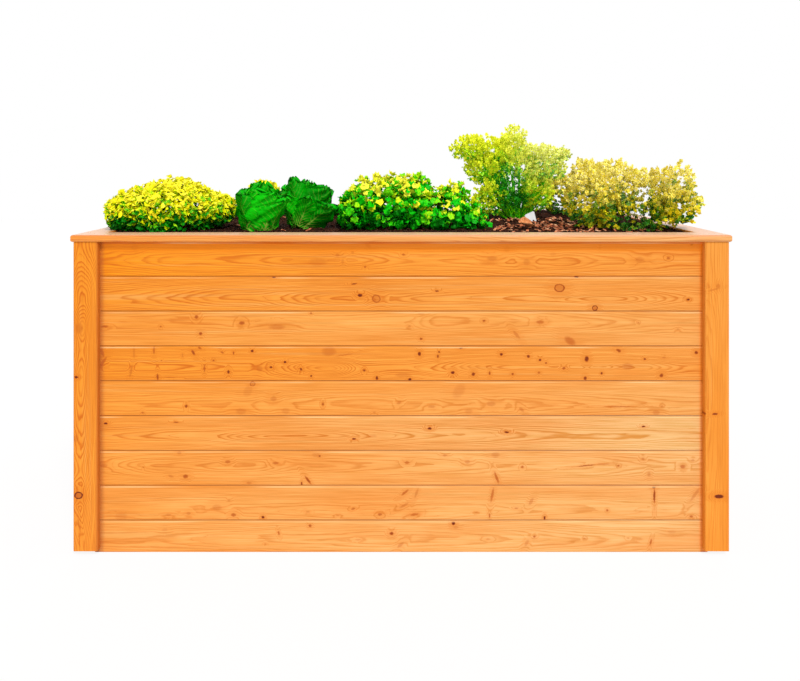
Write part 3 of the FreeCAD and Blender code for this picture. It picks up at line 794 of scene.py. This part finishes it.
def add_soil():
    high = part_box("soil")[1]
    inset = 0.0315
    half_x, half_y = high.x - inset, high.y - inset
    bm = bmesh.new()
    bmesh.ops.create_grid(bm, x_segments=200, y_segments=92, size=1)
    for vert in bm.verts:
        vert.co.x *= half_x
        vert.co.y *= half_y
        vert.co.z = soil_level(vert.co.x, vert.co.y)
    rim = [edge for edge in bm.edges if edge.is_boundary]
    skirt = bmesh.ops.extrude_edge_only(bm, edges=rim)["geom"]
    for part in skirt:
        if isinstance(part, bmesh.types.BMVert):
            part.co.z = SOIL_Z - 0.0005
    bmesh.ops.holes_fill(bm, edges=[edge for edge in bm.edges if edge.is_boundary])
    bmesh.ops.recalc_face_normals(bm, faces=bm.faces)
    keep(bm, "soil_surface", soil_finish("soil_surface_mix"), "soil_mix")
    dress("soil", soil_finish("soil_mix"))
    return half_x, half_y


def add_crumbs(half_x, half_y):
    """Loose crumbs of soil on the surface."""
    rng = random.Random(5)
    crumb = Shape(lambda bm: bmesh.ops.create_icosphere(bm, subdivisions=1, radius=1),
                  lambda co: co * (1 + 0.35 * noise.noise(co * 1.7)))
    bm = bmesh.new()
    for _ in range(2600):
        x, y = rng.uniform(-half_x, half_x) * 0.99, rng.uniform(-half_y, half_y) * 0.98
        size = rng.uniform(0.0016, 0.0052)
        place = Matrix.Translation((x, y, soil_level(x, y) + size * 0.3))
        turn = Matrix.Rotation(rng.uniform(0, 6.3), 4, "Z") @ Matrix.Rotation(rng.uniform(0, 6.3), 4, "X")
        crumb.lay(bm, place @ turn @ Matrix.Diagonal((size * rng.uniform(0.7, 1.6), size, size * 0.8, 1)))
    keep(bm, "soil_crumbs", soil_finish("soil_crumb_mix"), "soil_mix")


def add_mulch():
    """Chips of bark, thickest where the photo shows them, at the right of the middle."""
    rng = random.Random(8)
    count, gathered = 270, 240

    def chip(bm):
        bmesh.ops.create_cube(bm, size=1)
        bmesh.ops.bevel(bm, geom=bm.edges, offset=0.12, segments=1, affect="EDGES", profile=0.5, material=-1)

    def bend(co):
        return Vector((co.x * (1 - 0.35 * abs(co.y)), co.y, co.z + 0.35 * co.x * co.x))

    shape = Shape(chip, bend)
    bm = bmesh.new()
    for index in range(count):
        if index < gathered:
            x, y = rng.gauss(0.49, 0.10), rng.uniform(-0.37, 0.05)
        else:
            x, y = rng.uniform(-0.82, 0.82), rng.uniform(-0.37, 0.37)
        if abs(x) > 0.82:
            continue
        long, wide = rng.uniform(0.010, 0.028), rng.uniform(0.005, 0.010)
        turn = Matrix.Rotation(rng.uniform(0, 6.3), 4, "Z") @ Matrix.Rotation(rng.uniform(-0.5, 0.5), 4, "Y")
        place = Matrix.Translation((x, y, soil_level(x, y) + 0.002)) @ turn
        shape.lay(bm, place @ Matrix.Diagonal((long, wide, 0.0025, 1)))
    finish = Finish("bark_chips", Roughness=0.75)
    bands = finish.noise((60, 60, 60), 3)
    stops = [(0.3, tone(92, 34, 14)), (0.5, tone(196, 104, 60)), (0.68, tone(250, 196, 152))]
    colour = finish.ramp(bands, stops)
    keep(bm, "bark_chips", finish.use(colour, None, bands, 0.001), "soil_mix")


def add_tag():
    """A small blank plant tag beside the tall herb."""
    bm = bmesh.new()
    bmesh.ops.create_cube(bm, size=1)
    bmesh.ops.scale(bm, vec=(0.036, 0.0012, 0.062), verts=bm.verts)
    corners = [e for e in bm.edges if abs(e.verts[0].co.y - e.verts[1].co.y) > 0.0005]
    bmesh.ops.bevel(bm, geom=corners, offset=0.005, segments=3, affect="EDGES", profile=0.5, material=-1)
    for vert in bm.verts:
        if vert.co.z < -0.02:
            vert.co.x *= 0.3
    spot = at(533, 221, -0.04)
    place = Matrix.Translation(spot) @ Matrix.Rotation(math.radians(-24), 4, "Y")
    place = place @ Matrix.Rotation(math.radians(-18), 4, "X")
    bmesh.ops.transform(bm, matrix=place, verts=bm.verts)
    finish = Finish("tag_plastic", Roughness=0.4)
    cloud = finish.noise((40, 40, 40), 2)
    colour = finish.ramp(cloud, [(0.3, tone(214, 216, 218)), (0.7, tone(236, 236, 238))])
    keep(bm, "plant_tag", finish.use(colour), "soil_mix")


def add_dry_leaf():
    """A curled dry leaf in front of the tall herb."""
    bm = bmesh.new()
    bmesh.ops.create_grid(bm, x_segments=10, y_segments=14, size=0.5)
    for vert in bm.verts:
        across, up = vert.co.x * 2, vert.co.y + 0.5
        half = 0.021 * math.sin(math.pi * min(1, up * 0.93 + 0.05)) ** 0.7
        curl = 1.3 * across
        wave = 0.003 * noise.noise(Vector((across * 2, up * 4, 5)))
        rise = half * (1 - math.cos(curl)) * 1.2 + wave + 0.01 * up * up
        vert.co = Vector((half * math.sin(curl), 0.066 * up, rise))
    bmesh.ops.solidify(bm, geom=bm.faces, thickness=0.0008)
    place = Matrix.Translation(at(519, 222.5, -0.25)) @ Matrix.Rotation(math.radians(-52), 4, "Z")
    place = place @ Matrix.Rotation(math.radians(-22), 4, "X") @ Matrix.Rotation(math.radians(30), 4, "Y")
    bmesh.ops.transform(bm, matrix=place, verts=bm.verts)
    bmesh.ops.recalc_face_normals(bm, faces=bm.faces)
    finish = Finish("dry_leaf", Roughness=0.6)
    veins = finish.noise((90, 260, 90), 3)
    stops = [(0.3, tone(176, 96, 44)), (0.55, tone(224, 150, 92)), (0.75, tone(246, 196, 150))]
    colour = finish.ramp(veins, stops)
    keep(bm, "dry_leaf", finish.use(colour, None, veins, 0.001), "soil_mix", smooth=True)


# ---------------------------------------------------------------- plants

class Lobe:
    """A rounded part of a plant: its middle by photo place and depth, and its half sizes.

    The half width and half height are in pixels, and the half depth is in metres.
    """

    def __init__(self, u, v, y, wide, high, deep):
        self.middle = at(u, v, y)
        pixel = (y - EYE.y) / FOCAL
        self.half = Vector((wide * pixel, deep, high * pixel))

    def share(self, point):
        """0 in the middle and 1 on the surface."""
        gap = point - self.middle
        return Vector([g / h for g, h in zip(gap, self.half)]).length

    @property
    def area(self):
        return self.half.x * self.half.y + self.half.z * (self.half.x + self.half.y)


class Plant:
    """Leaves gathered into one mesh, each with a shade from dark to bright, partly painted light and shade,
    and a paleness of painted highlights.
    """

    def __init__(self, lobes=()):
        self.bm = bmesh.new()
        self.lobes = lobes
        self.shades, self.pales = [], []

    def add(self, leaf, place, shade, pale=0.0):
        leaf.lay(self.bm, place)
        self.shades += [shade] * leaf.faces
        self.pales += [pale] * leaf.faces

    def clothe(self, rng, leaves, count, size, reach=0.4, loose=0.6, lift=0.35, root=None, pale=None,
               bright=0.0, shadow=1.0, tint=None, vary=0.3):
        """Scatters leaves over the lobes, or sprigs that point away from the root."""
        total = sum(lobe.area for lobe in self.lobes)
        top = max(lobe.middle.z + lobe.half.z for lobe in self.lobes)
        for lobe in self.lobes:
            for _ in range(round(count * lobe.area / total)):
                way = Vector((rng.gauss(0, 1), rng.gauss(0, 1), rng.gauss(0, 1))).normalized()
                within = 1 - reach * rng.random() ** 1.6
                bump = 1 + 0.14 * noise.noise((lobe.middle + way * 0.1) * 24)
                point = lobe.middle + Vector([w * h for w, h in zip(way, lobe.half)]) * within * bump
                if point.z < SOIL_Z + 0.006:
                    continue
                if min(other.share(point) for other in self.lobes) < 1 - reach - 0.12:
                    continue
                out = Vector([w / h for w, h in zip(way, lobe.half)]).normalized()
                tall = (point.z - SOIL_Z) / (top - SOIL_Z)
                # painted light and shade on top of each leaf's own random tone: leaves higher up and facing
                # up are brighter, leaves deeper inside darker
                shade = 0.3 + bright + 0.42 * tall + 0.25 * out.z + rng.uniform(-vary, vary)
                shade -= shadow * (1 - within)
                if tint:
                    shade += tint(point)
                jitter = Vector((rng.gauss(0, 1), rng.gauss(0, 1), rng.gauss(0, 1))) * loose
                if root is None:
                    turn = (out + Vector((0, 0, lift)) + jitter).to_track_quat("Z", "Y")
                    spin = Matrix.Rotation(rng.uniform(0, 2 * math.pi), 4, "Z")
                else:
                    growth = (point - root).normalized() + out * 0.5 + Vector((0, 0, lift)) + jitter
                    turn = growth.to_track_quat("Y", "Z")
                    spin = Matrix.Rotation(rng.uniform(0, 2 * math.pi), 4, "Y")
                scale = size * rng.uniform(0.7, 1.25)
                place = Matrix.Translation(point) @ turn.to_matrix().to_4x4() @ spin @ Matrix.Scale(scale, 4)
                pale_highlight = pale(point) if pale else 0.0
                self.add(rng.choice(leaves), place, min(1, max(0, shade)), pale_highlight)

    def finish(self, name, material, slot, smooth=False):
        piece = keep(self.bm, f"{name}_leaves", material, slot, name, smooth=smooth)
        for word, values in (("shade", self.shades), ("pale", self.pales)):
            piece.data.attributes.new(word, "FLOAT", "FACE").data.foreach_set("value", values)


def little_leaf(sides, width, thick, cup, frill=0.0, lobes=0):
    """A closed little leaf 1 long, from its stalk at the origin to its tip on +Y, facing +Z."""

    def make(bm):
        bmesh.ops.create_cone(bm, cap_ends=True, cap_tris=True, segments=sides, radius1=0.5,
                              radius2=0, depth=thick)

    def form(co):
        turn = math.atan2(co.x, co.y)
        edge = 1 + frill * math.cos(lobes * turn)
        x, y = co.x * width * edge * 2, co.y * edge + 0.5
        return Vector((x, y, co.z + cup * (x * x + (y - 0.5) ** 2) + frill * 0.4 * math.sin(lobes * turn)))

    return Shape(make, form)


def sprig(leaf, pairs, leaf_size, stem=0.02, spread=0.55):
    """A thin stem 1 long on +Y with leaves in pairs and one at its tip."""

    def make(bm):
        bmesh.ops.create_cone(bm, cap_ends=True, cap_tris=True, segments=3, radius1=stem,
                              radius2=stem * 0.4, depth=1)
        upright = Matrix.Translation((0, 0.1, 0)) @ Matrix.Rotation(-math.pi / 2, 4, "X")
        bmesh.ops.transform(bm, matrix=upright, verts=bm.verts)
        for pair in range(pairs):
            up = 0.6 * (pair + 0.4) / pairs
            for side in (0, math.pi):
                turn = Matrix.Rotation(pair * 1.9 + side, 4, "Y") @ Matrix.Rotation(-spread * 1.6, 4, "Z")
                leaf.lay(bm, Matrix.Translation((0, up, 0)) @ turn @ Matrix.Scale(leaf_size, 4))
        leaf.lay(bm, Matrix.Translation((0, 0.6, 0)) @ Matrix.Scale(leaf_size, 4))

    return Shape(make)


def leaf_finish(name, stops, pale=tone(252, 248, 214), mottle=0.25, flecks=0.75):
    """Leaves whose colour runs, partly by painted light and shade, from dark green inside the plant to
    bright yellow on its top, with pale flecks of painted highlight.
    """
    finish = Finish(name, Roughness=0.5, Specular_IOR_Level=0.12)
    shade = finish.out("Attribute", {"attribute_name": "shade"}, None, "Fac")
    pale_highlight = finish.out("Attribute", {"attribute_name": "pale"}, None, "Fac")
    spots = finish.noise((290, 290, 290), 2)
    fine = finish.rise(finish.noise((330, 330, 330), 1, (7, 0, 0)), 0.52, 0.6)
    colour = finish.ramp(shade + (spots - 0.5) * mottle, stops)
    return finish.use(finish.mix(pale_highlight * (fine * flecks + (1 - flecks)), colour, pale))


def round_leaf(seed, wide=1.0, cup=0.9, ripple=0.1):
    """A rounded soft leaf 1 long with a wavy edge, closed and thin."""

    def make(bm):
        bmesh.ops.create_grid(bm, x_segments=3, y_segments=5, size=0.5)
        for vert in bm.verts:
            across, up = vert.co.x * 2, vert.co.y + 0.5
            half = 0.5 * wide * math.sin(math.pi * min(1, up * 0.86 + 0.1)) ** 0.55
            half *= 1 + 0.24 * math.sin(15 * up + seed + (2 if across > 0 else 0))
            x = across * half
            wave = ripple * (0.3 + abs(across) + up) * math.sin(7 * across + 9 * up + seed)
            vert.co = Vector((x, up, cup * x * x + 0.25 * cup * (up - 0.4) ** 2 + wave))
        bmesh.ops.solidify(bm, geom=bm.faces, thickness=0.02)
        bmesh.ops.recalc_face_normals(bm, faces=bm.faces)

    return Shape(make)


def add_frilly(name, seed, count, lobes):
    rng = random.Random(seed)
    leaves = [little_leaf(7, 0.95, 0.16, 0.5, 0.2, 4), little_leaf(6, 0.8, 0.16, -0.4, 0.25, 3)]
    plant = Plant(lobes)
    low = SOIL_Z + 0.06
    plant.clothe(rng, leaves, count, 0.0105, reach=0.28, loose=0.8, bright=0.12, shadow=0.9, vary=0.4,
                 tint=lambda point: -6 * max(0, low - point.z))
    stops = [(0.0, tone(0, 110, 4)), (0.25, tone(10, 156, 4)), (0.42, tone(96, 190, 4)),
             (0.56, tone(210, 226, 0)), (0.8, tone(248, 236, 0)), (1.0, tone(255, 246, 60))]
    plant.finish(name, leaf_finish(f"{name}_green", stops, mottle=0.9), "frilly_leaf")


def add_leaf_lettuce():
    rng = random.Random(21)
    lobes = [
        Lobe(386, 206, -0.17, 44, 31, 0.155), Lobe(438, 212, -0.17, 40, 25, 0.14),
        Lobe(355, 209, -0.21, 16, 22, 0.11), Lobe(474, 222, -0.22, 14, 10, 0.07),
        Lobe(417, 188, -0.18, 11, 13, 0.06), Lobe(456, 194, -0.18, 10, 10, 0.06),
    ]
    leaves = [round_leaf(seed, wide) for seed, wide in ((0, 1.0), (2, 1.15), (4, 0.85))]
    plant = Plant(lobes)
    plant.clothe(rng, leaves, 2000, 0.0215, reach=0.42, loose=0.65, bright=0.02, shadow=0.25, vary=0.34)
    stops = [(0.0, tone(0, 110, 4)), (0.25, tone(0, 170, 4)), (0.5, tone(10, 210, 4)),
             (0.68, tone(120, 226, 6)), (0.82, tone(240, 240, 10)), (1.0, tone(252, 246, 70))]
    plant.finish("leaf_lettuce_middle", leaf_finish("leaf_lettuce_green", stops, mottle=0.5), "lettuce_leaf",
                 smooth=True)


def cos_leaf(length, width, lean, curl, seed):
    """A broad upright leaf that leans outwards on +Y, with its own UV map along the midrib."""

    def make(bm):
        bm.loops.layers.uv.new("UVMap")
        bmesh.ops.create_grid(bm, x_segments=16, y_segments=20, size=0.5, calc_uvs=True)
        for vert in bm.verts:
            across, up = vert.co.x * 2, vert.co.y + 0.5
            half = 0.5 * width * (0.62 + 0.38 * math.sin(math.pi * min(0.5, up * 0.85)))
            half *= math.sqrt(max(0.02, 1 - max(0, (up - 0.6) / 0.41) ** 2))
            half *= 1 + 0.07 * math.sin(15 * up + seed) + 0.03 * math.sin(37 * up + 2 * seed)
            ripple = 0.011 * max(abs(across), up) ** 4 * math.sin(17 * up + 9 * across + seed)
            crinkle = 0.004 * noise.noise(Vector((across * 2.2, up * 5, seed)))
            out = length * (lean * up + curl * up ** 3) - 0.62 * half * across * across
            rise = length * (up - 0.3 * abs(curl) * up ** 3 - 0.2 * lean * up) - 0.12 * half * across ** 4
            rise += 0.006 * up ** 3 * math.sin(8 * across + 2 * seed)
            vert.co = Vector((across * half * 0.92, out + ripple + crinkle, rise))
        bmesh.ops.solidify(bm, geom=bm.faces, thickness=0.0009)
        bmesh.ops.recalc_face_normals(bm, faces=bm.faces)

    return Shape(make)


def cos_finish(name):
    finish = Finish(name, Roughness=0.5, Specular_IOR_Level=0.08)
    split = finish.node("SeparateXYZ", None, {"Vector": finish.out("UVMap", {"uv_map": "UVMap"})})
    across = finish.math("ABSOLUTE", Number(finish, split.outputs["X"]) - 0.5)
    up = Number(finish, split.outputs["Y"])
    veins = finish.math("PINGPONG", up * 9 - across * 7 + 20, 0.5)
    vein = (1 - finish.rise(veins, 0.02, 0.12)) * (1 - finish.rise(across, 0.2, 0.42)) * 0.14
    rib = 1 - finish.rise(across + up * 0.04, 0.015, 0.05)
    fan = (1 - finish.rise(veins, 0.05, 0.26)) * finish.fade(up + across * 0.5, 0.1, 0.62, 0.75)
    pale = finish.math("MAXIMUM", finish.math("MAXIMUM", vein, fan), rib * (0.75 - up * 0.75))
    cloud = finish.noise((30, 30, 30), 3)
    shade = finish.out("Attribute", {"attribute_name": "shade"}, None, "Fac")
    greens = [(0.0, tone(0, 110, 0)), (0.5, tone(0, 166, 0)), (1.0, tone(16, 208, 6))]
    colour = finish.ramp(shade + (cloud - 0.5) * 0.5, greens)
    colour = finish.mix(pale, colour, tone(196, 208, 90))
    folds = finish.noise((75, 75, 75), 2, (2, 0, 4))
    return finish.use(colour, None, vein + cloud + folds * 1.5, 0.003)


def add_cos(name, seed, base, leaves):
    """Cos lettuce: its foot, and each leaf's turn, roll to the right, length, width, lean and reach."""
    rng = random.Random(seed)
    plant = Plant()
    for turn, roll, length, width, lean, reach in leaves:
        leaf = cos_leaf(length, width, lean, 0.04 if lean > 0.1 else -0.05, rng.uniform(0, 9))
        place = Matrix.Translation(base) @ Matrix.Rotation(math.radians(roll), 4, "Y")
        place = place @ Matrix.Rotation(math.radians(turn), 4, "Z") @ Matrix.Translation((0, reach, 0))
        plant.add(leaf, place, rng.uniform(0.25, 0.8))
    plant.finish(name, cos_finish(f"{name}_green"), "cos_leaf", smooth=True)


def add_parsley():
    rng = random.Random(33)
    lobes = [
        Lobe(513, 150, 0.085, 14, 22, 0.06), Lobe(471, 150, 0.085, 18, 13, 0.07),
        Lobe(484, 170, 0.085, 18, 15, 0.09), Lobe(493, 198, 0.04, 17, 17, 0.08),
        Lobe(512, 180, 0.085, 26, 36, 0.11), Lobe(545, 166, 0.09, 18, 18, 0.09),
        Lobe(560, 156, 0.10, 8, 7, 0.05), Lobe(536, 194, 0.07, 14, 18, 0.07),
        Lobe(491, 152, 0.085, 16, 14, 0.07), Lobe(534, 157, 0.085, 14, 12, 0.07),
    ]
    leaf = little_leaf(4, 0.62, 0.16, 0.2)
    branch = sprig(leaf, 3, 0.36)
    root = at(518, 222, 0.085)
    plant = Plant(lobes)

    # painted highlights: leaves paler towards the upper right of the bush
    def washed_out(point):
        right = (point.x - 0.36) / 0.14
        high = (point.z - 0.98) / 0.12
        return 0.06 + 0.7 * max(0, min(1, right)) * max(0, min(1, high))

    core = at(508, 190, 0.085)

    def greener(point):
        lean = core.x + (core.z - point.z) * 0.25
        gap = ((point.x - lean) / 0.065) ** 2 + ((point.z - core.z) / 0.14) ** 2
        return 0.05 - 0.85 * max(0, 1 - gap)

    plant.clothe(rng, [branch], 2750, 0.0215, reach=0.5, loose=0.45, lift=0.3, root=root, pale=washed_out,
                 bright=0.38, shadow=0.35, tint=greener, vary=0.4)

    def stalk(bm):
        bmesh.ops.create_cone(bm, cap_ends=True, cap_tris=True, segments=5, radius1=0.004,
                              radius2=0.0016, depth=1)

    stem = Shape(stalk, lambda co: Vector((co.x, co.y, co.z + 0.5)))
    for _ in range(70):
        lobe = rng.choice(lobes)
        tip = lobe.middle + Vector([rng.uniform(-0.6, 0.6) * h for h in lobe.half])
        foot = root + Vector((rng.uniform(-0.02, 0.02), rng.uniform(-0.02, 0.02), -0.01))
        way = tip - foot
        place = Matrix.Translation(foot) @ way.to_track_quat("Z", "Y").to_matrix().to_4x4()
        plant.add(stem, place @ Matrix.Diagonal((1, 1, way.length, 1)), 0.35)
    stops = [(0.0, tone(0, 140, 4)), (0.25, tone(6, 196, 6)), (0.42, tone(130, 236, 4)),
             (0.58, tone(222, 250, 4)), (1.0, tone(250, 252, 40))]
    plant.finish("parsley_bush", leaf_finish("parsley_green", stops, mottle=1.0), "parsley_leaf")


def add_golden(name, seed, count, lobes, root, bright, green):
    """A golden bush. green: the middle and half size of the part that stays green."""
    rng = random.Random(seed)
    leaf = little_leaf(4, 0.6, 0.18, 0.2)
    branch = sprig(leaf, 4, 0.4)
    plant = Plant(lobes)
    middle, half = green

    def greener(point):
        gap = ((point.x - middle.x) / half) ** 2 + ((point.z - middle.z) / (half * 0.7)) ** 2
        return -0.4 * max(0, 1 - gap)

    plant.clothe(rng, [branch], count, 0.0185, reach=0.35, loose=0.65, lift=0.2, root=root, bright=bright,
                 shadow=0.5, tint=greener, vary=0.42,
                 # painted highlights: pale flecks that grow towards the top of the bush
                 pale=lambda point: max(0.05, min(0.64, (point.z - 0.94) / 0.15)))
    stops = [(0.0, tone(14, 100, 4)), (0.2, tone(64, 146, 6)), (0.38, tone(150, 180, 4)),
             (0.52, tone(240, 220, 0)), (0.85, tone(255, 236, 6)), (1.0, tone(255, 244, 110))]
    finish = leaf_finish(f"{name}_gold", stops, tone(255, 246, 220), mottle=1.3, flecks=0.95)
    plant.finish(name, finish, "golden_leaf")


def add_plants():
    add_frilly("frilly_lettuce_left", 11, 8000, [
        Lobe(171, 212, -0.225, 51, 33, 0.15), Lobe(129, 212, -0.27, 17, 20, 0.10),
        Lobe(220, 209, -0.22, 15, 14, 0.09),
    ])
    add_frilly("frilly_lettuce_back", 12, 2200, [Lobe(263, 207, 0.17, 20, 26, 0.095)])
    add_cos("cos_lettuce_left", 14, at(259, 233, -0.29), [
        (176, -4, 0.142, 0.145, 0.10, 0.036), (214, 10, 0.138, 0.132, 0.18, 0.038),
        (146, -8, 0.134, 0.120, 0.12, 0.038), (190, 6, 0.160, 0.115, 0.02, 0.010),
        (240, 14, 0.130, 0.118, 0.22, 0.036), (10, 0, 0.150, 0.130, 0.14, 0.030),
        (60, -6, 0.142, 0.120, 0.14, 0.030), (310, 10, 0.146, 0.120, 0.16, 0.032),
        (110, -8, 0.136, 0.110, 0.10, 0.026), (280, 12, 0.140, 0.110, 0.12, 0.026),
        (160, -6, 0.152, 0.100, 0.00, 0.006), (30, 2, 0.154, 0.100, 0.02, 0.008),
    ])
    add_cos("cos_lettuce_right", 15, at(301, 226, -0.22), [
        (196, 48, 0.128, 0.112, 0.24, 0.034), (168, -8, 0.158, 0.084, 0.02, 0.016),
        (206, 34, 0.152, 0.118, 0.04, 0.006), (226, 52, 0.138, 0.104, 0.16, 0.016),
        (150, -14, 0.112, 0.092, 0.16, 0.030), (182, 12, 0.146, 0.100, 0.00, 0.004),
        (330, 28, 0.146, 0.112, 0.14, 0.026), (20, 10, 0.148, 0.115, 0.14, 0.026),
        (60, -8, 0.138, 0.100, 0.12, 0.024), (100, -10, 0.118, 0.088, 0.10, 0.022),
        (280, 46, 0.140, 0.100, 0.16, 0.024), (176, 26, 0.112, 0.090, 0.30, 0.040),
    ])
    add_leaf_lettuce()
    add_parsley()
    add_golden("golden_bush_back", 41, 950, [
        Lobe(585, 180, 0.29, 14, 20, 0.09), Lobe(562, 197, 0.27, 15, 21, 0.10),
        Lobe(604, 184, 0.27, 13, 20, 0.09),
    ], at(583, 214, 0.29), 0.2, (at(566, 207, 0.27), 0.08))
    add_golden("golden_bush_right", 42, 2200, [
        Lobe(592, 200, -0.215, 24, 30, 0.11), Lobe(612, 188, -0.2, 24, 27, 0.11),
        Lobe(640, 197, -0.2, 26, 26, 0.11), Lobe(676, 187, -0.25, 13, 23, 0.08),
        Lobe(657, 192, -0.22, 15, 22, 0.09), Lobe(679, 206, -0.3, 16, 16, 0.08),
        Lobe(695, 204, -0.31, 6, 3, 0.03), Lobe(630, 215, -0.22, 46, 16, 0.14),
    ], at(640, 226, -0.215), 0.2, (at(632, 218, -0.26), 0.09))


# ---------------------------------------------------------------- the scene

def add_floor():
    bm = bmesh.new()
    bmesh.ops.create_grid(bm, x_segments=2, y_segments=2, size=9)
    mesh = bpy.data.meshes.new("floor")
    bm.to_mesh(mesh)
    bm.free()
    finish = Finish("floor_white", Roughness=1.0)
    cloud = finish.noise((3, 3, 3), 1)
    finish.use(finish.ramp(cloud, [(0, 0.8), (1, 0.82)]))
    seen = finish.seen_directly()
    glow = finish.node("Emission", None, {"Color": (1, 1, 1, 1), "Strength": 1.0})
    joined = finish.node("MixShader", None, {0: seen * 0.88})
    finish.tree.links.new(finish.shader.outputs[0], joined.inputs[1])
    finish.tree.links.new(glow.outputs[0], joined.inputs[2])
    finish.tree.links.new(joined.outputs[0], finish.tree.nodes["Material Output"].inputs["Surface"])
    mesh.materials.append(finish.material)
    floor = bpy.data.objects.new("floor", mesh)
    bpy.context.scene.collection.objects.link(floor)


def add_sky(strength):
    world = bpy.data.worlds.new("sky")
    bpy.context.scene.world = world
    world.use_nodes = True
    sky = Nodes(world.node_tree)
    light = sky.out("MapRange", None, {"Value": sky.seen_directly(), "To Min": strength, "To Max": 1})
    background = sky.tree.nodes["Background"]
    background.inputs["Color"].default_value = (1, 1, 1, 1)
    sky.feed(background.inputs["Strength"], light)


add_camera()
add_sky(0.66)
add_sun("key", 2.5, 14, 52, 24)
add_floor()
dress_walls()
dress_posts()
dress_cap()
dress_braces()
dress_liner()
dress_mesh()
for group in ("cap_screws", "frame_screws"):
    add_screws(group)
half_x, half_y = add_soil()
add_crumbs(half_x, half_y)
add_mulch()
add_tag()
add_dry_leaf()
add_plants()

bpy.context.scene.view_settings.view_transform = "Standard"
